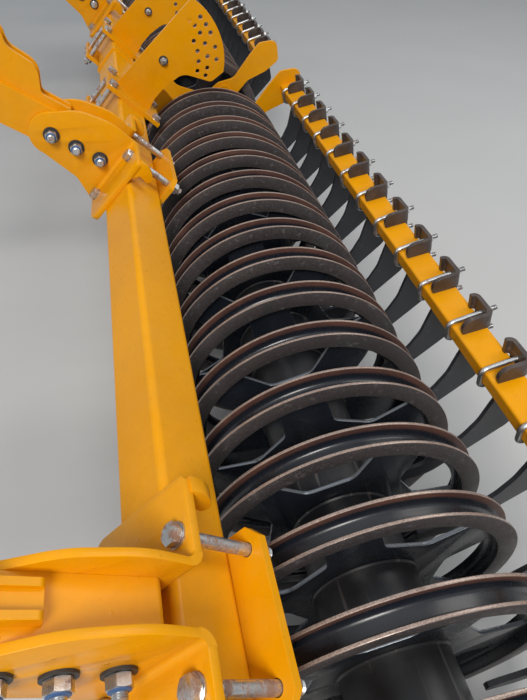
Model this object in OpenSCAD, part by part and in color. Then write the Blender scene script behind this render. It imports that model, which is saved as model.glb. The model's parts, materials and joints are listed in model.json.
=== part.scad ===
// Ring packer roller unit of a compact disc harrow.
// X points to the rear, Y to the machine's right, Z up.
// The origin is on the common axis of the four arm eyes, in the middle of the machine.

/* [Layout] */
// Rearward distance from the arm eyes to the roller axle
axle_back = 1150; // [1100:5:1250]
// Height of the arm eyes over the roller axle
eye_rise = 685; // [650:5:720]
// Forward distance from the roller axle to the carrying beam
beam_ahead = 355; // [350:1:370]
// Height of the carrying beam over the roller axle
beam_rise = 302; // [298:1:315]
// Sideways place of the two inner arms
inner_arm_y = 925; // [700:5:1200]
// Sideways place of the two outer arms
outer_arm_y = 2278; // [2150:1:2330]
// Sideways place of the two adjuster plates
quadrant_y = 356; // [345:1:500]

/* [Carrying beam] */
// Side of the square tube
beam_side = 120; // [110:1:125]
// Wall of the square tube
beam_wall = 8; // [5:0.5:12]
// Outside corner radius of the square tube
beam_corner = 14; // [9:1:18]
// Length of the beam past the outer hangers
beam_overhang = 34; // [10:1:60]
// Thickness of the end caps
cap_t = 6; // [3:1:12]

/* [Rings] */
// Outer radius of a ring
ring_r = 315; // [300:1:320]
// Width of a ring
ring_w = 49; // [44:1:52]
// Spacing from ring to ring
ring_pitch = 148; // [146:1:155]
// Number of rings in one section
ring_count = 16; // [10:1:16]
// Inner face of the innermost ring, from the middle of the machine
ring_inner_y = 221; // [215:1:240]
// Thickness of a ring's flanges
flange_t = 6; // [4:0.5:8]
// Height of a ring's flanges
flange_h = 32; // [24:1:38]
// Thickness of a ring's floor between the flanges
web_t = 10; // [6:0.5:12]
// Thickness of the spider plate
spider_t = 8; // [6:0.5:10]
// Openings in a spider plate
spider_holes = 5; // [4:1:6]
// Radius of the openings' inner edges
spider_root_r = 165; // [150:1:175]
// Radius of the openings' outer edges
spider_rim_r = 262; // [240:1:266]
// Angle that a spoke takes at the rim
spoke_a = 23; // [16:1:30]
// Angle that a ring is turned from its neighbour
ring_turn = 36; // [0:1:72]
// Angle that the outermost ring is turned on the shaft
roller_start = -3.5; // [-36:0.5:36]

/* [Roller shaft] */
// Outer radius of the shaft tube
tube_r = 109.55; // [100:0.05:115]
// Wall of the shaft tube
tube_wall = 8; // [5:0.5:12]
// Length of the tube past the outermost ring faces
tube_overhang = 8; // [4:1:12]
// Radius of the stub axles
journal_r = 30; // [25:1:35]
// Radial gap between a stub axle and its bearing
journal_gap = 0.1; // [0.02:0.01:0.1]

/* [Hangers] */
// Thickness of the hanger plates
hanger_t = 12; // [10:1:16]
// Gap between the roller tube's end and a hanger
hanger_gap = 18; // [10:1:22]
// Radius of a bearing flange
bearing_r = 78; // [70:1:90]
// Height of a bearing housing
bearing_h = 44; // [36:1:52]

/* [Clamps] */
// Thickness of the clamp plates on the beam
clamp_t = 15; // [10:1:20]
// Half width of an arm clamp plate
clamp_half_w = 122; // [115:1:140]
// Sideways distance from an arm's middle to its clamp bolts
clamp_bolt_y = 93; // [88:1:98]
// Distance from a beam corner to the clamp bolts
clamp_bolt_out = 35; // [30:1:40]
// Distance a clamp plate reaches past a beam corner
clamp_reach = 64; // [58:1:70]
// Distance from a beam corner to the lower bolts of an arm clamp
clamp_low_out = 14; // [12:1:20]
// Sideways distance from an arm's middle to its lower clamp bolts
clamp_low_y = 67; // [64:1:90]
// Thickness of the hooks that locate a clamp plate on the beam
hook_t = 15; // [10:1:20]
// Height of the hooks over the beam's faces
hook_h = 42; // [34:1:50]
// Radius of the clamp bolt holes
clamp_hole_r = 11; // [8:0.5:13]

/* [Arms] */
// Forward distance from the roller axle to the rear arm bolt
arm_bolt_ahead = 428; // [424:1:434]
// Height of the rear arm bolt over the roller axle
arm_bolt_rise = 403; // [398:1:408]
// Spacing of the three bolts that hold an arm
arm_bolt_pitch = 71; // [64:1:76]
// Slope of the row of bolts
arm_slope = 36; // [33:1:38]
// Height of an arm's top over its row of bolts
arm_over = 61; // [54:1:70]
// Depth of an arm under its row of bolts
arm_under = 40; // [34:1:46]
// Forward distance from the roller axle to the link pin
link_ahead = 630; // [610:1:640]
// Height of the link pin over the roller axle
link_rise = 695; // [680:1:705]
// Width of an arm
arm_w = 74; // [66:1:80]
// Thickness of the side plates that hold an arm
cheek_t = 12; // [8:1:16]
// Radius of an arm eye
eye_r = 52; // [45:1:60]
// Radius of the pin hole in an arm eye
eye_hole_r = 20; // [15:1:25]
// Width of an arm eye
eye_w = 96; // [90:1:120]
// Radius of the three bolt holes that hold an arm
arm_hole_r = 11; // [8:0.5:13]
// Radius of the pin hole in the link lug
link_hole_r = 15; // [12:1:18]
// Width over the two plates of the link lug
link_w = 44; // [36:1:60]
// Thickness of each plate of the link lug
lug_t = 10; // [6:1:14]

/* [Adjuster plates] */
// Thickness of an adjuster plate
quadrant_t = 12; // [8:1:16]
// Forward distance from the roller axle to the pivot hole
pivot_ahead = 173; // [168:1:178]
// Height of the pivot hole over the roller axle
pivot_rise = 472; // [466:1:478]
// Distance from the pivot hole to the waist of the plate under it
waist_r = 84; // [76:1:92]
// Half width of the foot plates of an adjuster plate
quadrant_half_w = 95; // [85:1:105]
// Sideways distance from an adjuster plate to its clamp bolts
quadrant_bolt_y = 70; // [55:1:72]
// Outer radius of an adjuster plate about its pivot hole
quadrant_r = 230; // [222:1:240]
// Radius of the peg holes
peg_r = 8.25; // [6:0.25:9]
// Radius of the pivot hole
pivot_r = 13; // [10:1:18]

/* [Scrapers] */
// Rearward distance from the roller axle to the scraper bar
scraper_back = 357; // [345:1:370]
// Height of the scraper bar over the roller axle
scraper_rise = 282.4; // [275:0.1:300]
// Width of the scraper bar
scraper_w = 70; // [60:1:75]
// Height of the scraper bar
scraper_h = 40; // [35:1:50]
// Wall of the scraper bar
scraper_wall = 4; // [3:0.5:6]
// Tilt of the scraper bar
scraper_tilt = 10; // [5:1:15]
// Thickness of a scraper blade
blade_t = 10; // [6:0.5:12]
// Radius of the clip rods
clip_r = 6; // [5:0.5:8]
// Width of a blade holder
holder_w = 78; // [70:1:85]
// Thickness of a blade holder
holder_t = 10; // [6:0.5:12]
// Outer bend radius of a blade holder
holder_bend_r = 16; // [13:1:20]
// Height of a blade holder over the bar
holder_rise = 40; // [32:1:44]
// Depth of a blade holder under the bar
holder_drop = 28; // [20:1:34]

/* [Hidden] */
$fn = 64;
fit_gap = 0.3;

// Places of the roller axle, the beam and the scraper bar, as [x, z]
axle = [axle_back, -eye_rise];
beam_at = axle + [-beam_ahead, beam_rise];
scraper_at = axle + [scraper_back, scraper_rise];

// Sideways places that follow from the rings
section_w = (ring_count - 1) * ring_pitch + ring_w;
ring_outer_y = ring_inner_y + section_w;
tube_inner_y = ring_inner_y - tube_overhang;
tube_outer_y = ring_outer_y + tube_overhang;
hanger_inner_y = tube_inner_y - hanger_gap - hanger_t / 2;
hanger_outer_y = tube_outer_y + hanger_gap + hanger_t / 2;
beam_half = hanger_outer_y + beam_overhang;

// Half the beam's side, and places along a plate that lies on it
half_side = beam_side / 2;
bolt_along = half_side + clamp_bolt_out;
low_bolt_along = half_side + clamp_low_out;
plate_half = half_side + clamp_reach;

// A point beside the beam: out from the face that looks at this angle, and along that face
function face_at(angle, along, out) =
    beam_at + out * [cos(angle), sin(angle)] + along * [sin(angle), -cos(angle)];

// Unit vector and rounded outline helpers
function from_axle(rows) = [for (w = rows) [w[0] + axle[0], w[1] + axle[1], w[2]]];
function unit(v) = v / norm(v);
function polar(c, r, a) = c + r * [cos(a), sin(a)];
function turned(from, to) = let (d = to - from) d > 180 ? d - 360 : d < -180 ? d + 360 : d;
function corner(p, a, b, r, n) =
    let (
        u = unit(a - p),
        v = unit(b - p),
        half = acos(u * v) / 2,
        c = p + unit(u + v) * r / sin(half),
        s = p + u * r / tan(half) - c,
        e = p + v * r / tan(half) - c,
        from = atan2(s.y, s.x),
        sweep = turned(from, atan2(e.y, e.x))
    )
    [for (k = [0 : n]) polar(c, r, from + sweep * k / n)];
// Each row of an outline is [x, y, corner radius]
function rounded(rows, n = 6) =
    let (m = len(rows), p = [for (w = rows) [w[0], w[1]]])
    [for (i = [0 : m - 1]) each rows[i][2] > 0
        ? corner(p[i], p[(i + m - 1) % m], p[(i + 1) % m], rows[i][2], n)
        : [p[i]]];

// A flat shape drawn in X and Z, given a thickness along Y
module upright(y, t) {
    translate([0, y, 0]) rotate([90, 0, 0]) linear_extrude(t, center = true) children();
}

// A round bar or hole along Y
module cross_pin(at, y, r, l) {
    translate([at[0], y, at[1]]) rotate([90, 0, 0]) cylinder(r = r, h = l, center = true);
}

// Places a child so that its Z leaves the beam's face that looks at this angle in X and Z
module on_beam_face(angle, y) {
    translate([beam_at[0], y, beam_at[1]]) rotate([0, 90 - angle, 0]) children();
}

module rounded_box(w, h, r) {
    square([w - 2 * r, h], center = true);
    square([w, h - 2 * r], center = true);
    for (x = [-1, 1], y = [-1, 1])
        translate([x * (w / 2 - r), y * (h / 2 - r)]) circle(r);
}

module box_tube(at, angle, w, h, wall, r, y_mid, l) {
    upright(y_mid, l) translate(at) rotate(angle) difference() {
        rounded_box(w, h, r);
        rounded_box(w - 2 * wall, h - 2 * wall, r - wall / 2);
    }
}

// Carrying beam, a square tube that stands on its corner
module beam() color("orange")
    box_tube(beam_at, 45, beam_side, beam_side, beam_wall, beam_corner, 0, 2 * beam_half);

module beam_caps() color("orange")
    for (s = [-1, 1])
        upright(s * (beam_half + cap_t / 2), cap_t)
            translate(beam_at) rotate(45) rounded_box(beam_side, beam_side, beam_corner);

// A flat clamp plate on one face of the beam, from one place along the face to another.
// Its bolts are rows of [place along the face, sideways distance from the middle]
module clamp_plate(angle, y, half_w, from, to, bolts, cut = 0) {
    on_beam_face(angle, y) translate([0, 0, half_side]) linear_extrude(clamp_t) difference() {
        polygon([
            [from, cut - half_w], [from + cut, -half_w], [to, -half_w],
            [to, half_w], [from + cut, half_w], [from, half_w - cut]
        ]);
        for (b = bolts, s = [-1, 1]) translate([b[0], s * b[1]]) circle(clamp_hole_r);
    }
}

// A point in an arm's own directions: forwards along the row of bolts, and over it
arm_bolt_at = axle + [-arm_bolt_ahead, arm_bolt_rise];
function arm_at(along, over) = arm_bolt_at
    + along * [-cos(arm_slope), sin(arm_slope)] + over * [sin(arm_slope), cos(arm_slope)];
// Outlines in those directions have rows of [along, over, corner radius]
function arm_outline(rows) = [for (w = rows) [each arm_at(w[0], w[1]), w[2]]];

arm_bolts = [for (k = [0 : 2]) arm_at(k * arm_bolt_pitch, 0)];
arm_half_eye = eye_r - 6;
arm_rows = concat(
    arm_outline([[-34, -arm_under, 10], [-34, arm_over, 10], [430, arm_over, 120]]),
    [[0, arm_half_eye, 0], [0, -arm_half_eye, 0]],
    arm_outline([[395, -arm_under, 120]])
);

// The lug has a slot for the link, with a low strip left between its plates
lug_foot = arm_over - 10;
link_at = axle + [-link_ahead, link_rise];
lug_rows = arm_outline([
    [112, lug_foot, 0], [118, arm_over + 20, 8], [201, arm_over + 20, 16], [232, 141, 45],
    [312, 146, 40], [340, 182, 30], [392, 168, 36], [396, lug_foot, 0]
]);
lug_slot_rows = arm_outline([
    [90, arm_over + 12, 0], [206, arm_over + 12, 16], [236, 131, 30], [268, 129, 8],
    [274, arm_over + 4, 0], [420, arm_over + 4, 0], [420, 220, 0], [90, 220, 0]
]);

module arm(y) color("orange") difference() {
    union() {
        upright(y, arm_w) polygon(rounded(arm_rows));
        upright(y, link_w) polygon(rounded(lug_rows));
        cross_pin([0, 0], y, eye_r, eye_w);
    }
    cross_pin([0, 0], y, eye_hole_r, eye_w + 2);
    upright(y, link_w - 2 * lug_t) polygon(rounded(lug_slot_rows));
    cross_pin(link_at, y, link_hole_r, link_w + 2);
    for (b = arm_bolts) cross_pin(b, y, arm_hole_r, arm_w + 2);
}

// Bolts of an arm clamp, as rows of [place along the plate, sideways distance]
arm_clamp_bolts = [[bolt_along, clamp_bolt_y], [-low_bolt_along, clamp_low_y]];
clamp_low_half = plate_half - 16;

// A side plate is round about the front bolt and stands on the clamp plate
cheek_nose_r = 60;
cheek_rows = concat(
    [[each face_at(135, -100, half_side + clamp_t / 2), 0]],
    [[each face_at(135, 122, half_side + clamp_t / 2), 8]],
    arm_outline(concat(
        [[10, 112, 160], [105, 97, 160]],
        [for (a = [60 : -15 : -90])
            [2 * arm_bolt_pitch + cheek_nose_r * cos(a), cheek_nose_r * sin(a), 0]],
        [[35, -84, 60]]
    ))
);

// A hook behind each end of a clamp plate, which locates it on the beam's next face
module clamp_hook(angle, dir, y) {
    top = half_side + hook_h;
    foot = -half_side - clamp_t / 2;
    upright(y, hook_t) polygon([
        face_at(angle, dir * foot, half_side), face_at(angle, dir * foot, top),
        face_at(angle, 0, top), face_at(angle, dir * hook_h / 2, half_side)
    ]);
}

// Clamp plate on the beam's front top face, with the two side plates that hold an arm
module arm_bracket(y) color("orange") {
    clamp_plate(135, y, clamp_half_w, -clamp_low_half, plate_half, arm_clamp_bolts);
    for (s = [-1, 1]) {
        clamp_hook(45, 1, y + s * (clamp_half_w - hook_t / 2));
        clamp_hook(-135, -1, y + s * (clamp_half_w - hook_t / 2));
        difference() {
            upright(y + s * (arm_w + cheek_t) / 2, cheek_t) polygon(rounded(cheek_rows));
            for (b = arm_bolts) cross_pin(b, y, arm_hole_r, arm_w + 3 * cheek_t);
        }
    }
}

module arm_counter_plates() color("orange")
    for (y = [-outer_arm_y, -inner_arm_y, inner_arm_y, outer_arm_y])
        clamp_plate(-45, y, clamp_half_w + 6, -plate_half, clamp_low_half,
            [for (b = arm_clamp_bolts) [-b[0], b[1]]], 24);

// Adjuster plate with its peg holes. Rows are [radius about the pivot, angles]
pivot_at = axle + [-pivot_ahead, pivot_rise];
peg_rows = [
    [quadrant_r - 30, [41.3, 32.4, 23.6, 9.1, -3.1]],
    [quadrant_r - 63.5, [49, 40.2, 29.4, 16, 0.7, -13, -22.6]],
    [quadrant_r - 98, [25.3, 9.7, -5.7, -20.2]]
];
quadrant_bolts = [[bolt_along, quadrant_bolt_y], [-bolt_along, quadrant_bolt_y]];
quadrant_half = plate_half - 10;
quadrant_rows = concat(
    [[each face_at(45, 74, half_side + clamp_t / 2), 0]],
    [[each face_at(45, -76, half_side + clamp_t / 2), 0]],
    [[each polar(pivot_at, quadrant_r, 57), 14]],
    [for (a = [46 : -6 : -14]) [each polar(pivot_at, quadrant_r, a), 0]],
    [[each polar(pivot_at, quadrant_r - 36, -27), 24], [each polar(pivot_at, waist_r, -37), 55],
        [each polar(pivot_at, waist_r + 9, -94), 60], [each polar(pivot_at, waist_r + 57, -111), 40]]
);

module quadrant(y) color("orange") {
    difference() {
        upright(y, quadrant_t) polygon(rounded(quadrant_rows));
        cross_pin(pivot_at, y, pivot_r, quadrant_t + 2);
        for (row = peg_rows, a = row[1])
            cross_pin(polar(pivot_at, row[0], a), y, peg_r, quadrant_t + 2);
    }
    clamp_plate(45, y, quadrant_half_w, -quadrant_half, quadrant_half, quadrant_bolts);
}

module quadrant_counter_plates() color("orange")
    for (s = [-1, 1])
        clamp_plate(-135, s * quadrant_y, quadrant_half_w, -quadrant_half, quadrant_half, quadrant_bolts);

// Hanger that carries a roller end under the beam. Its foot is round the bearing
hanger_foot_r = bearing_r + 34;
hanger_hole_r = journal_r + 12;
hanger_rows = concat(
    [[each face_at(-45, 42, half_side + clamp_t / 2), 0]],
    [[each face_at(-45, -96, half_side + clamp_t / 2), 10]],
    from_axle([[-176, 316, 18], [-92, 196, 70], [60, 140, 70], [150, 190, 30], [190, 120, 40],
        [118, 10, 60]]),
    [for (a = [-30 : -15 : -165]) [each polar(axle, hanger_foot_r, a), 0]],
    from_axle([[-236, 186, 25]])
);
bearing_bolt_r = bearing_r - 16;
bearing_hole_r = 7;
bracket_bolts = [[60, 96], [130, 136]];
bracket_hole_r = 8.5;
hanger_base_w = 60;
// Where the base plate lies along the beam's face
hanger_base = [-100, 45];

module bearing_bolt_holes(y, l) {
    for (a = [45 : 90 : 315])
        cross_pin(polar(axle, bearing_bolt_r, a), y, bearing_hole_r, l);
}

module hanger(y) color("orange") {
    difference() {
        upright(y, hanger_t) polygon(rounded(hanger_rows));
        cross_pin(axle, y, hanger_hole_r, hanger_t + 2);
        bearing_bolt_holes(y, hanger_t + 2);
        for (b = bracket_bolts) cross_pin(axle + b, y, bracket_hole_r, hanger_t + 2);
    }
    on_beam_face(-45, y) translate([hanger_base[0], -hanger_base_w / 2, half_side])
        cube([hanger_base[1] - hanger_base[0], hanger_base_w, clamp_t]);
}

// Flanged bearing on a hanger's side away from the rings
bearing_flange_t = 18;
bearing_body_r = bearing_r - 28;

module bearing(y, s) color("dimgray") difference() {
    union() {
        cross_pin(axle, y + s * (hanger_t + bearing_flange_t) / 2, bearing_r, bearing_flange_t);
        cross_pin(axle, y + s * (hanger_t + bearing_h) / 2, bearing_body_r, bearing_h);
    }
    cross_pin(axle, y, journal_r + journal_gap, 4 * bearing_h);
    bearing_bolt_holes(y + s * hanger_t, 4 * hanger_t);
}

// Shaft tube of one roller section
module shaft_tube(s) color("darkslategray")
    translate([axle[0], s * (tube_inner_y + tube_outer_y) / 2, axle[1]]) rotate([90, 0, 0])
        difference() {
            cylinder(r = tube_r, h = tube_outer_y - tube_inner_y, center = true);
            cylinder(r = tube_r - tube_wall, h = tube_outer_y, center = true);
        }

// Stub axles, each with the disc that closes the tube's end
end_disc_t = 20;

module stub_axles(s) color("dimgray")
    for (e = [[tube_inner_y, -1], [tube_outer_y, 1]]) {
        cross_pin(axle, s * (e[0] - e[1] * end_disc_t / 2), tube_r - tube_wall, end_disc_t);
        cross_pin(axle, s * (e[0] + e[1] * (hanger_gap + hanger_t + bearing_h) / 2), journal_r,
            hanger_gap + hanger_t + bearing_h);
    }

// One ring: a channel that is open outwards, on a spider plate with five openings
groove_r = 10;
rim_inner_r = ring_r - flange_h - web_t;
spider_y = (ring_w - spider_t) / 2;

module ring_channel() {
    rotate_extrude($fn = 128) difference() {
        translate([rim_inner_r, 0]) square([flange_h + web_t, ring_w]);
        translate([ring_r - flange_h + groove_r, flange_t]) square([flange_h, ring_w - 2 * flange_t]);
        translate([ring_r - flange_h, flange_t + groove_r])
            square([groove_r + 1, ring_w - 2 * flange_t - 2 * groove_r]);
        for (y = [flange_t + groove_r, ring_w - flange_t - groove_r])
            translate([ring_r - flange_h + groove_r, y]) circle(groove_r);
    }
}

// An opening is wide at the rim and narrow towards the hub, with two round inner corners
module spider_opening() {
    half_a = 180 / spider_holes - spoke_a / 2;
    root_r = 28;
    root_half = 50;
    rows = [
        [each polar([0, 0], spider_rim_r + 10, half_a), 0], [spider_root_r, root_half, root_r],
        [spider_root_r, -root_half, root_r], [each polar([0, 0], spider_rim_r + 10, -half_a), 0]
    ];
    intersection() {
        circle(spider_rim_r, $fn = 128);
        polygon(rounded(rows, 5));
    }
}

module ring() {
    ring_channel();
    translate([0, 0, spider_y]) linear_extrude(spider_t) difference() {
        circle(rim_inner_r + web_t / 2, $fn = 128);
        circle(tube_r + fit_gap);
        for (k = [0 : spider_holes - 1]) rotate(k * 360 / spider_holes) spider_opening();
    }
}

module rings(s) color("darkslategray")
    for (k = [0 : ring_count - 1])
        translate([axle[0], s * (ring_outer_y - k * ring_pitch), axle[1]])
            rotate([s * 90, roller_start + k * ring_turn, 0]) ring();

// Scraper bar of one section, between two brackets
bracket_inner_y = hanger_inner_y + hanger_t;
bracket_outer_y = hanger_outer_y - hanger_t;
scraper_inner_y = bracket_inner_y + hanger_t / 2;
scraper_outer_y = bracket_outer_y - hanger_t / 2;
scraper_corner = 6;

module scraper_bar(s) color("orange")
    box_tube(scraper_at, scraper_tilt, scraper_w, scraper_h, scraper_wall, scraper_corner,
        s * (scraper_inner_y + scraper_outer_y) / 2, scraper_outer_y - scraper_inner_y);

// Bracket that carries a scraper bar's end, against a hanger
bracket_rows = [
    [20, 120, 20], [110, 190, 60], [190, 205, 60], [270, 300, 40], [320, 352, 30], [405, 360, 30],
    [415, 270, 30], [350, 225, 60], [260, 190, 60], [160, 90, 30], [60, 56, 25]
];

module scraper_bracket(y) color("orange") difference() {
    upright(y, hanger_t) polygon(rounded(from_axle(bracket_rows)));
    for (b = bracket_bolts) cross_pin(axle + b, y, bracket_hole_r, hanger_t + 2);
}

// Middles of the gaps between the rings, where the blades run
gap_places = [for (k = [0 : ring_count - 2])
    ring_outer_y - ring_w - (ring_pitch - ring_w) / 2 - k * ring_pitch];

// Sizes in the bar's own tilted frame, X to the rear and Z away from its top
half_bar = [scraper_w, scraper_h] / 2;
over_bar = half_bar[1] + fit_gap;
clip_reach = half_bar + [1, 1] * (clip_r + fit_gap);
clip_tail = half_bar[0] + holder_t + 28;
web_front = half_bar[0] + fit_gap;
bend_x = web_front + holder_t - holder_bend_r;
holder_top = half_bar[1] + holder_rise;
seam = -half_bar[1] - holder_drop;
holder_mid = (holder_w - holder_t) / 2;

module on_scraper_bar() {
    translate([scraper_at[0], 0, scraper_at[1]]) rotate([0, -scraper_tilt, 0]) children();
}

// Holder: a plate behind the bar, bent forwards at the blade's side into an ear over the bar
// and a lug under it, and at its other side into a short lip. The side is 1 or -1
ear_rows = [
    [-26, over_bar, 3], [-32, holder_top, 24], [bend_x, holder_top, 0], [bend_x, over_bar, 0]
];
lug_front = [-17, -27.5];
holder_lug_rows = [
    [lug_front[0], -over_bar, 3], [bend_x, -over_bar, 0], [bend_x, seam, 0], [lug_front[1], seam, 0]
];
lip_front = 26;

module holder_bend(side, y, from, to) {
    translate([bend_x, y, from]) rotate(side > 0 ? 0 : -90) rotate_extrude(angle = 90)
        translate([holder_bend_r - holder_t, 0]) square([holder_t, to - from]);
}

module holder(side) {
    near_y = side * (holder_bend_r - holder_t / 2);
    far_y = side * (holder_w - holder_t / 2 - holder_bend_r);
    difference() {
        union() {
            translate([web_front, min(near_y, far_y), seam])
                cube([holder_t, abs(far_y - near_y), holder_top - seam]);
            holder_bend(-side, near_y, over_bar, holder_top);
            holder_bend(-side, near_y, seam, -over_bar);
            holder_bend(side, far_y, over_bar, holder_top);
            upright(0, holder_t) polygon(rounded(ear_rows));
            upright(0, holder_t) polygon(rounded(holder_lug_rows));
            translate([lip_front, side * (holder_w - holder_t) - holder_t / 2, over_bar])
                cube([bend_x - lip_front, holder_t, holder_top - over_bar]);
        }
        for (z = [-1, 1])
            translate([half_bar[0] - 1, side * holder_mid, z * clip_reach[1]]) rotate([0, 90, 0])
                cylinder(r = clip_r + 0.5, h = 3 * holder_t);
    }
}

// Blade: a flat hook on edge in the gap between two rings, welded under the holder's lug.
// It is straight behind the rings and turns towards the shaft tube between them
leaf_rows = [
    [lug_front[1], seam - fit_gap, 0], [-50, -108, 90], [-82, -152.5, 100], [-177, -227, 60],
    [-232, -225.6, 5], [-254, -232, 4], [-256, -258, 8], [-168, -279, 90], [30, -144, 30],
    [bend_x, seam - fit_gap, 0]
];

module blade() {
    upright(0, blade_t) polygon(rounded(leaf_rows));
}

// Clip that holds a holder: a rod bent round the bar's front, with its ends to the rear
module clip() {
    bend_r = clip_r + 7;
    straight = clip_reach[1] - bend_r;
    translate([-clip_reach[0], 0, 0]) cylinder(r = clip_r, h = 2 * straight, center = true);
    for (z = [-1, 1]) {
        translate([-clip_reach[0] + bend_r, 0, z * clip_reach[1]]) rotate([0, 90, 0])
            cylinder(r = clip_r, h = clip_reach[0] - bend_r + clip_tail);
        translate([-clip_reach[0] + bend_r, 0, z * straight]) rotate([90, 0, 0])
            rotate([0, 0, z > 0 ? 90 : 180]) rotate_extrude(angle = 90)
                translate([bend_r, 0]) circle(clip_r);
    }
}

module at_each_gap(s) {
    for (y = gap_places) translate([0, s * y, 0]) on_scraper_bar() children();
}

module holders(s) color("saddlebrown") at_each_gap(s) holder(-s);

module blades(s) color("dimgray") at_each_gap(s) blade();

module clips(s) color("lightgray") at_each_gap(s) translate([0, -s * holder_mid, 0]) clip();

beam();
beam_caps();
arm(-outer_arm_y);  // left_outer_arm
arm(-inner_arm_y);  // left_inner_arm
arm(inner_arm_y);  // right_inner_arm
arm(outer_arm_y);  // right_outer_arm
arm_bracket(-outer_arm_y);  // left_outer_arm_bracket
arm_bracket(-inner_arm_y);  // left_inner_arm_bracket
arm_bracket(inner_arm_y);  // right_inner_arm_bracket
arm_bracket(outer_arm_y);  // right_outer_arm_bracket
arm_counter_plates();
quadrant(-quadrant_y);  // left_adjuster_plate
quadrant(quadrant_y);  // right_adjuster_plate
quadrant_counter_plates();  // adjuster_counter_plates
hanger(-hanger_outer_y);  // left_outer_hanger
hanger(-hanger_inner_y);  // left_inner_hanger
hanger(hanger_inner_y);  // right_inner_hanger
hanger(hanger_outer_y);  // right_outer_hanger
bearing(-hanger_outer_y, -1);  // left_outer_bearing
bearing(-hanger_inner_y, 1);  // left_inner_bearing
bearing(hanger_inner_y, -1);  // right_inner_bearing
bearing(hanger_outer_y, 1);  // right_outer_bearing
shaft_tube(-1);  // left_shaft_tube
shaft_tube(1);  // right_shaft_tube
stub_axles(-1);  // left_stub_axles
stub_axles(1);  // right_stub_axles
rings(-1);  // left_rings
rings(1);  // right_rings
scraper_bar(-1);  // left_scraper_bar
scraper_bar(1);  // right_scraper_bar
scraper_bracket(-bracket_outer_y);  // left_outer_scraper_bracket
scraper_bracket(-bracket_inner_y);  // left_inner_scraper_bracket
scraper_bracket(bracket_inner_y);  // right_inner_scraper_bracket
scraper_bracket(bracket_outer_y);  // right_outer_scraper_bracket
holders(-1);  // left_holders
holders(1);  // right_holders
blades(-1);  // left_blades
blades(1);  // right_blades
clips(-1);  // left_clips
clips(1);  // right_clips
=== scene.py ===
"""Ring packer roller unit of a compact disc harrow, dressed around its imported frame."""
import json
import logging
import math
from collections.abc import Callable, Iterable, Iterator, Sequence
from contextlib import contextmanager
from dataclasses import dataclass, field
from enum import Enum

import bmesh
import bpy
from mathutils import Matrix, Vector


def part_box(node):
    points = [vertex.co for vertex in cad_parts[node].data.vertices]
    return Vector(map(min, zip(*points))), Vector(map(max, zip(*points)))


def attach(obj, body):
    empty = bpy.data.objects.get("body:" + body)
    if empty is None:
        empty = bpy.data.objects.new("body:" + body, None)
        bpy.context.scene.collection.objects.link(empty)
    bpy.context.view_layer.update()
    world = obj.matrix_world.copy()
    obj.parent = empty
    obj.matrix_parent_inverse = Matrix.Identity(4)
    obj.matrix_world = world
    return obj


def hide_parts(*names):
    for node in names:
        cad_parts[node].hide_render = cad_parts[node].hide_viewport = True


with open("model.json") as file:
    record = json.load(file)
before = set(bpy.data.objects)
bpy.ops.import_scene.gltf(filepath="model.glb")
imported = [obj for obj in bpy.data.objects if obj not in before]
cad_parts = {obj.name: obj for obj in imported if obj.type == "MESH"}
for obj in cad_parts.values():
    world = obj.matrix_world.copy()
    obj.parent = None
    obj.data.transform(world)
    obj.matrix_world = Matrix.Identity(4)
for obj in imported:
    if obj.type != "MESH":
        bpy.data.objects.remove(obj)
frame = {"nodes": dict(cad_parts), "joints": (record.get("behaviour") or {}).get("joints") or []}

LOG = logging.getLogger("packer")
MM = 0.001
TAU = 2 * math.pi
# Edges sharper than CREASE stay hard, and faces that meet flatter than FLAT are joined
CREASE = math.radians(32)
FLAT = math.radians(0.4)
# Stands a shape drawn in X and Y up in X and Z
UPRIGHT = Matrix.Rotation(math.pi / 2, 4, "X")
# Radius of the thick plates' cut edges
PLATE_EDGE = 1.6 * MM
# Directions that the beam's upper faces look in, in X and Z, in degrees
FRONT_FACE = 135.0
REAR_FACE = 45.0
# Bolts that hold an arm between its brackets
ARM_BOLTS = 3

Point = tuple[float, float]
Triple = tuple[float, float, float]
Rgb = Triple
Place = Sequence[float]
Socket = bpy.types.NodeSocket
Material = bpy.types.Material
Mesh = bpy.types.Mesh
Object = bpy.types.Object


class Side(Enum):
    """The two roller sections of the machine."""

    LEFT = -1
    RIGHT = 1

    @property
    def label(self) -> str:
        """The section's name as the nodes and bodies have it."""
        return self.name.lower()


class Wear(Enum):
    """How rusty a piece of hardware is."""

    NEW = 0.10
    USED = 0.24


def polar(radius: float, degrees: float) -> Point:
    """A point at a radius and angle about the origin."""
    return radius * math.cos(math.radians(degrees)), radius * math.sin(math.radians(degrees))


def circle(radius: float, steps: int) -> list[Point]:
    """Points round a circle about the origin."""
    return [polar(radius, 360 * k / steps) for k in range(steps)]


def arc(x: float, y: float, radius: float, start: float, stop: float,
        steps: int) -> list[Point]:
    """Points along an arc.

    Args:
        x: First coordinate of its centre.
        y: Second coordinate of its centre.
        radius: Its radius.
        start: Its first angle, in degrees.
        stop: Its last angle, in degrees.
        steps: Number of steps in it.

    Returns:
        The points, with both ends.
    """
    turns = (start + (stop - start) * k / steps for k in range(steps + 1))
    return [(x + dx, y + dy) for dx, dy in (polar(radius, turn) for turn in turns)]


def disc(radius: float, height: float) -> list[Point]:
    """The lathe profile of a plain cylinder that stands on local zero."""
    return [(0, 0), (radius, 0), (radius, height), (0, height)]


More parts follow.
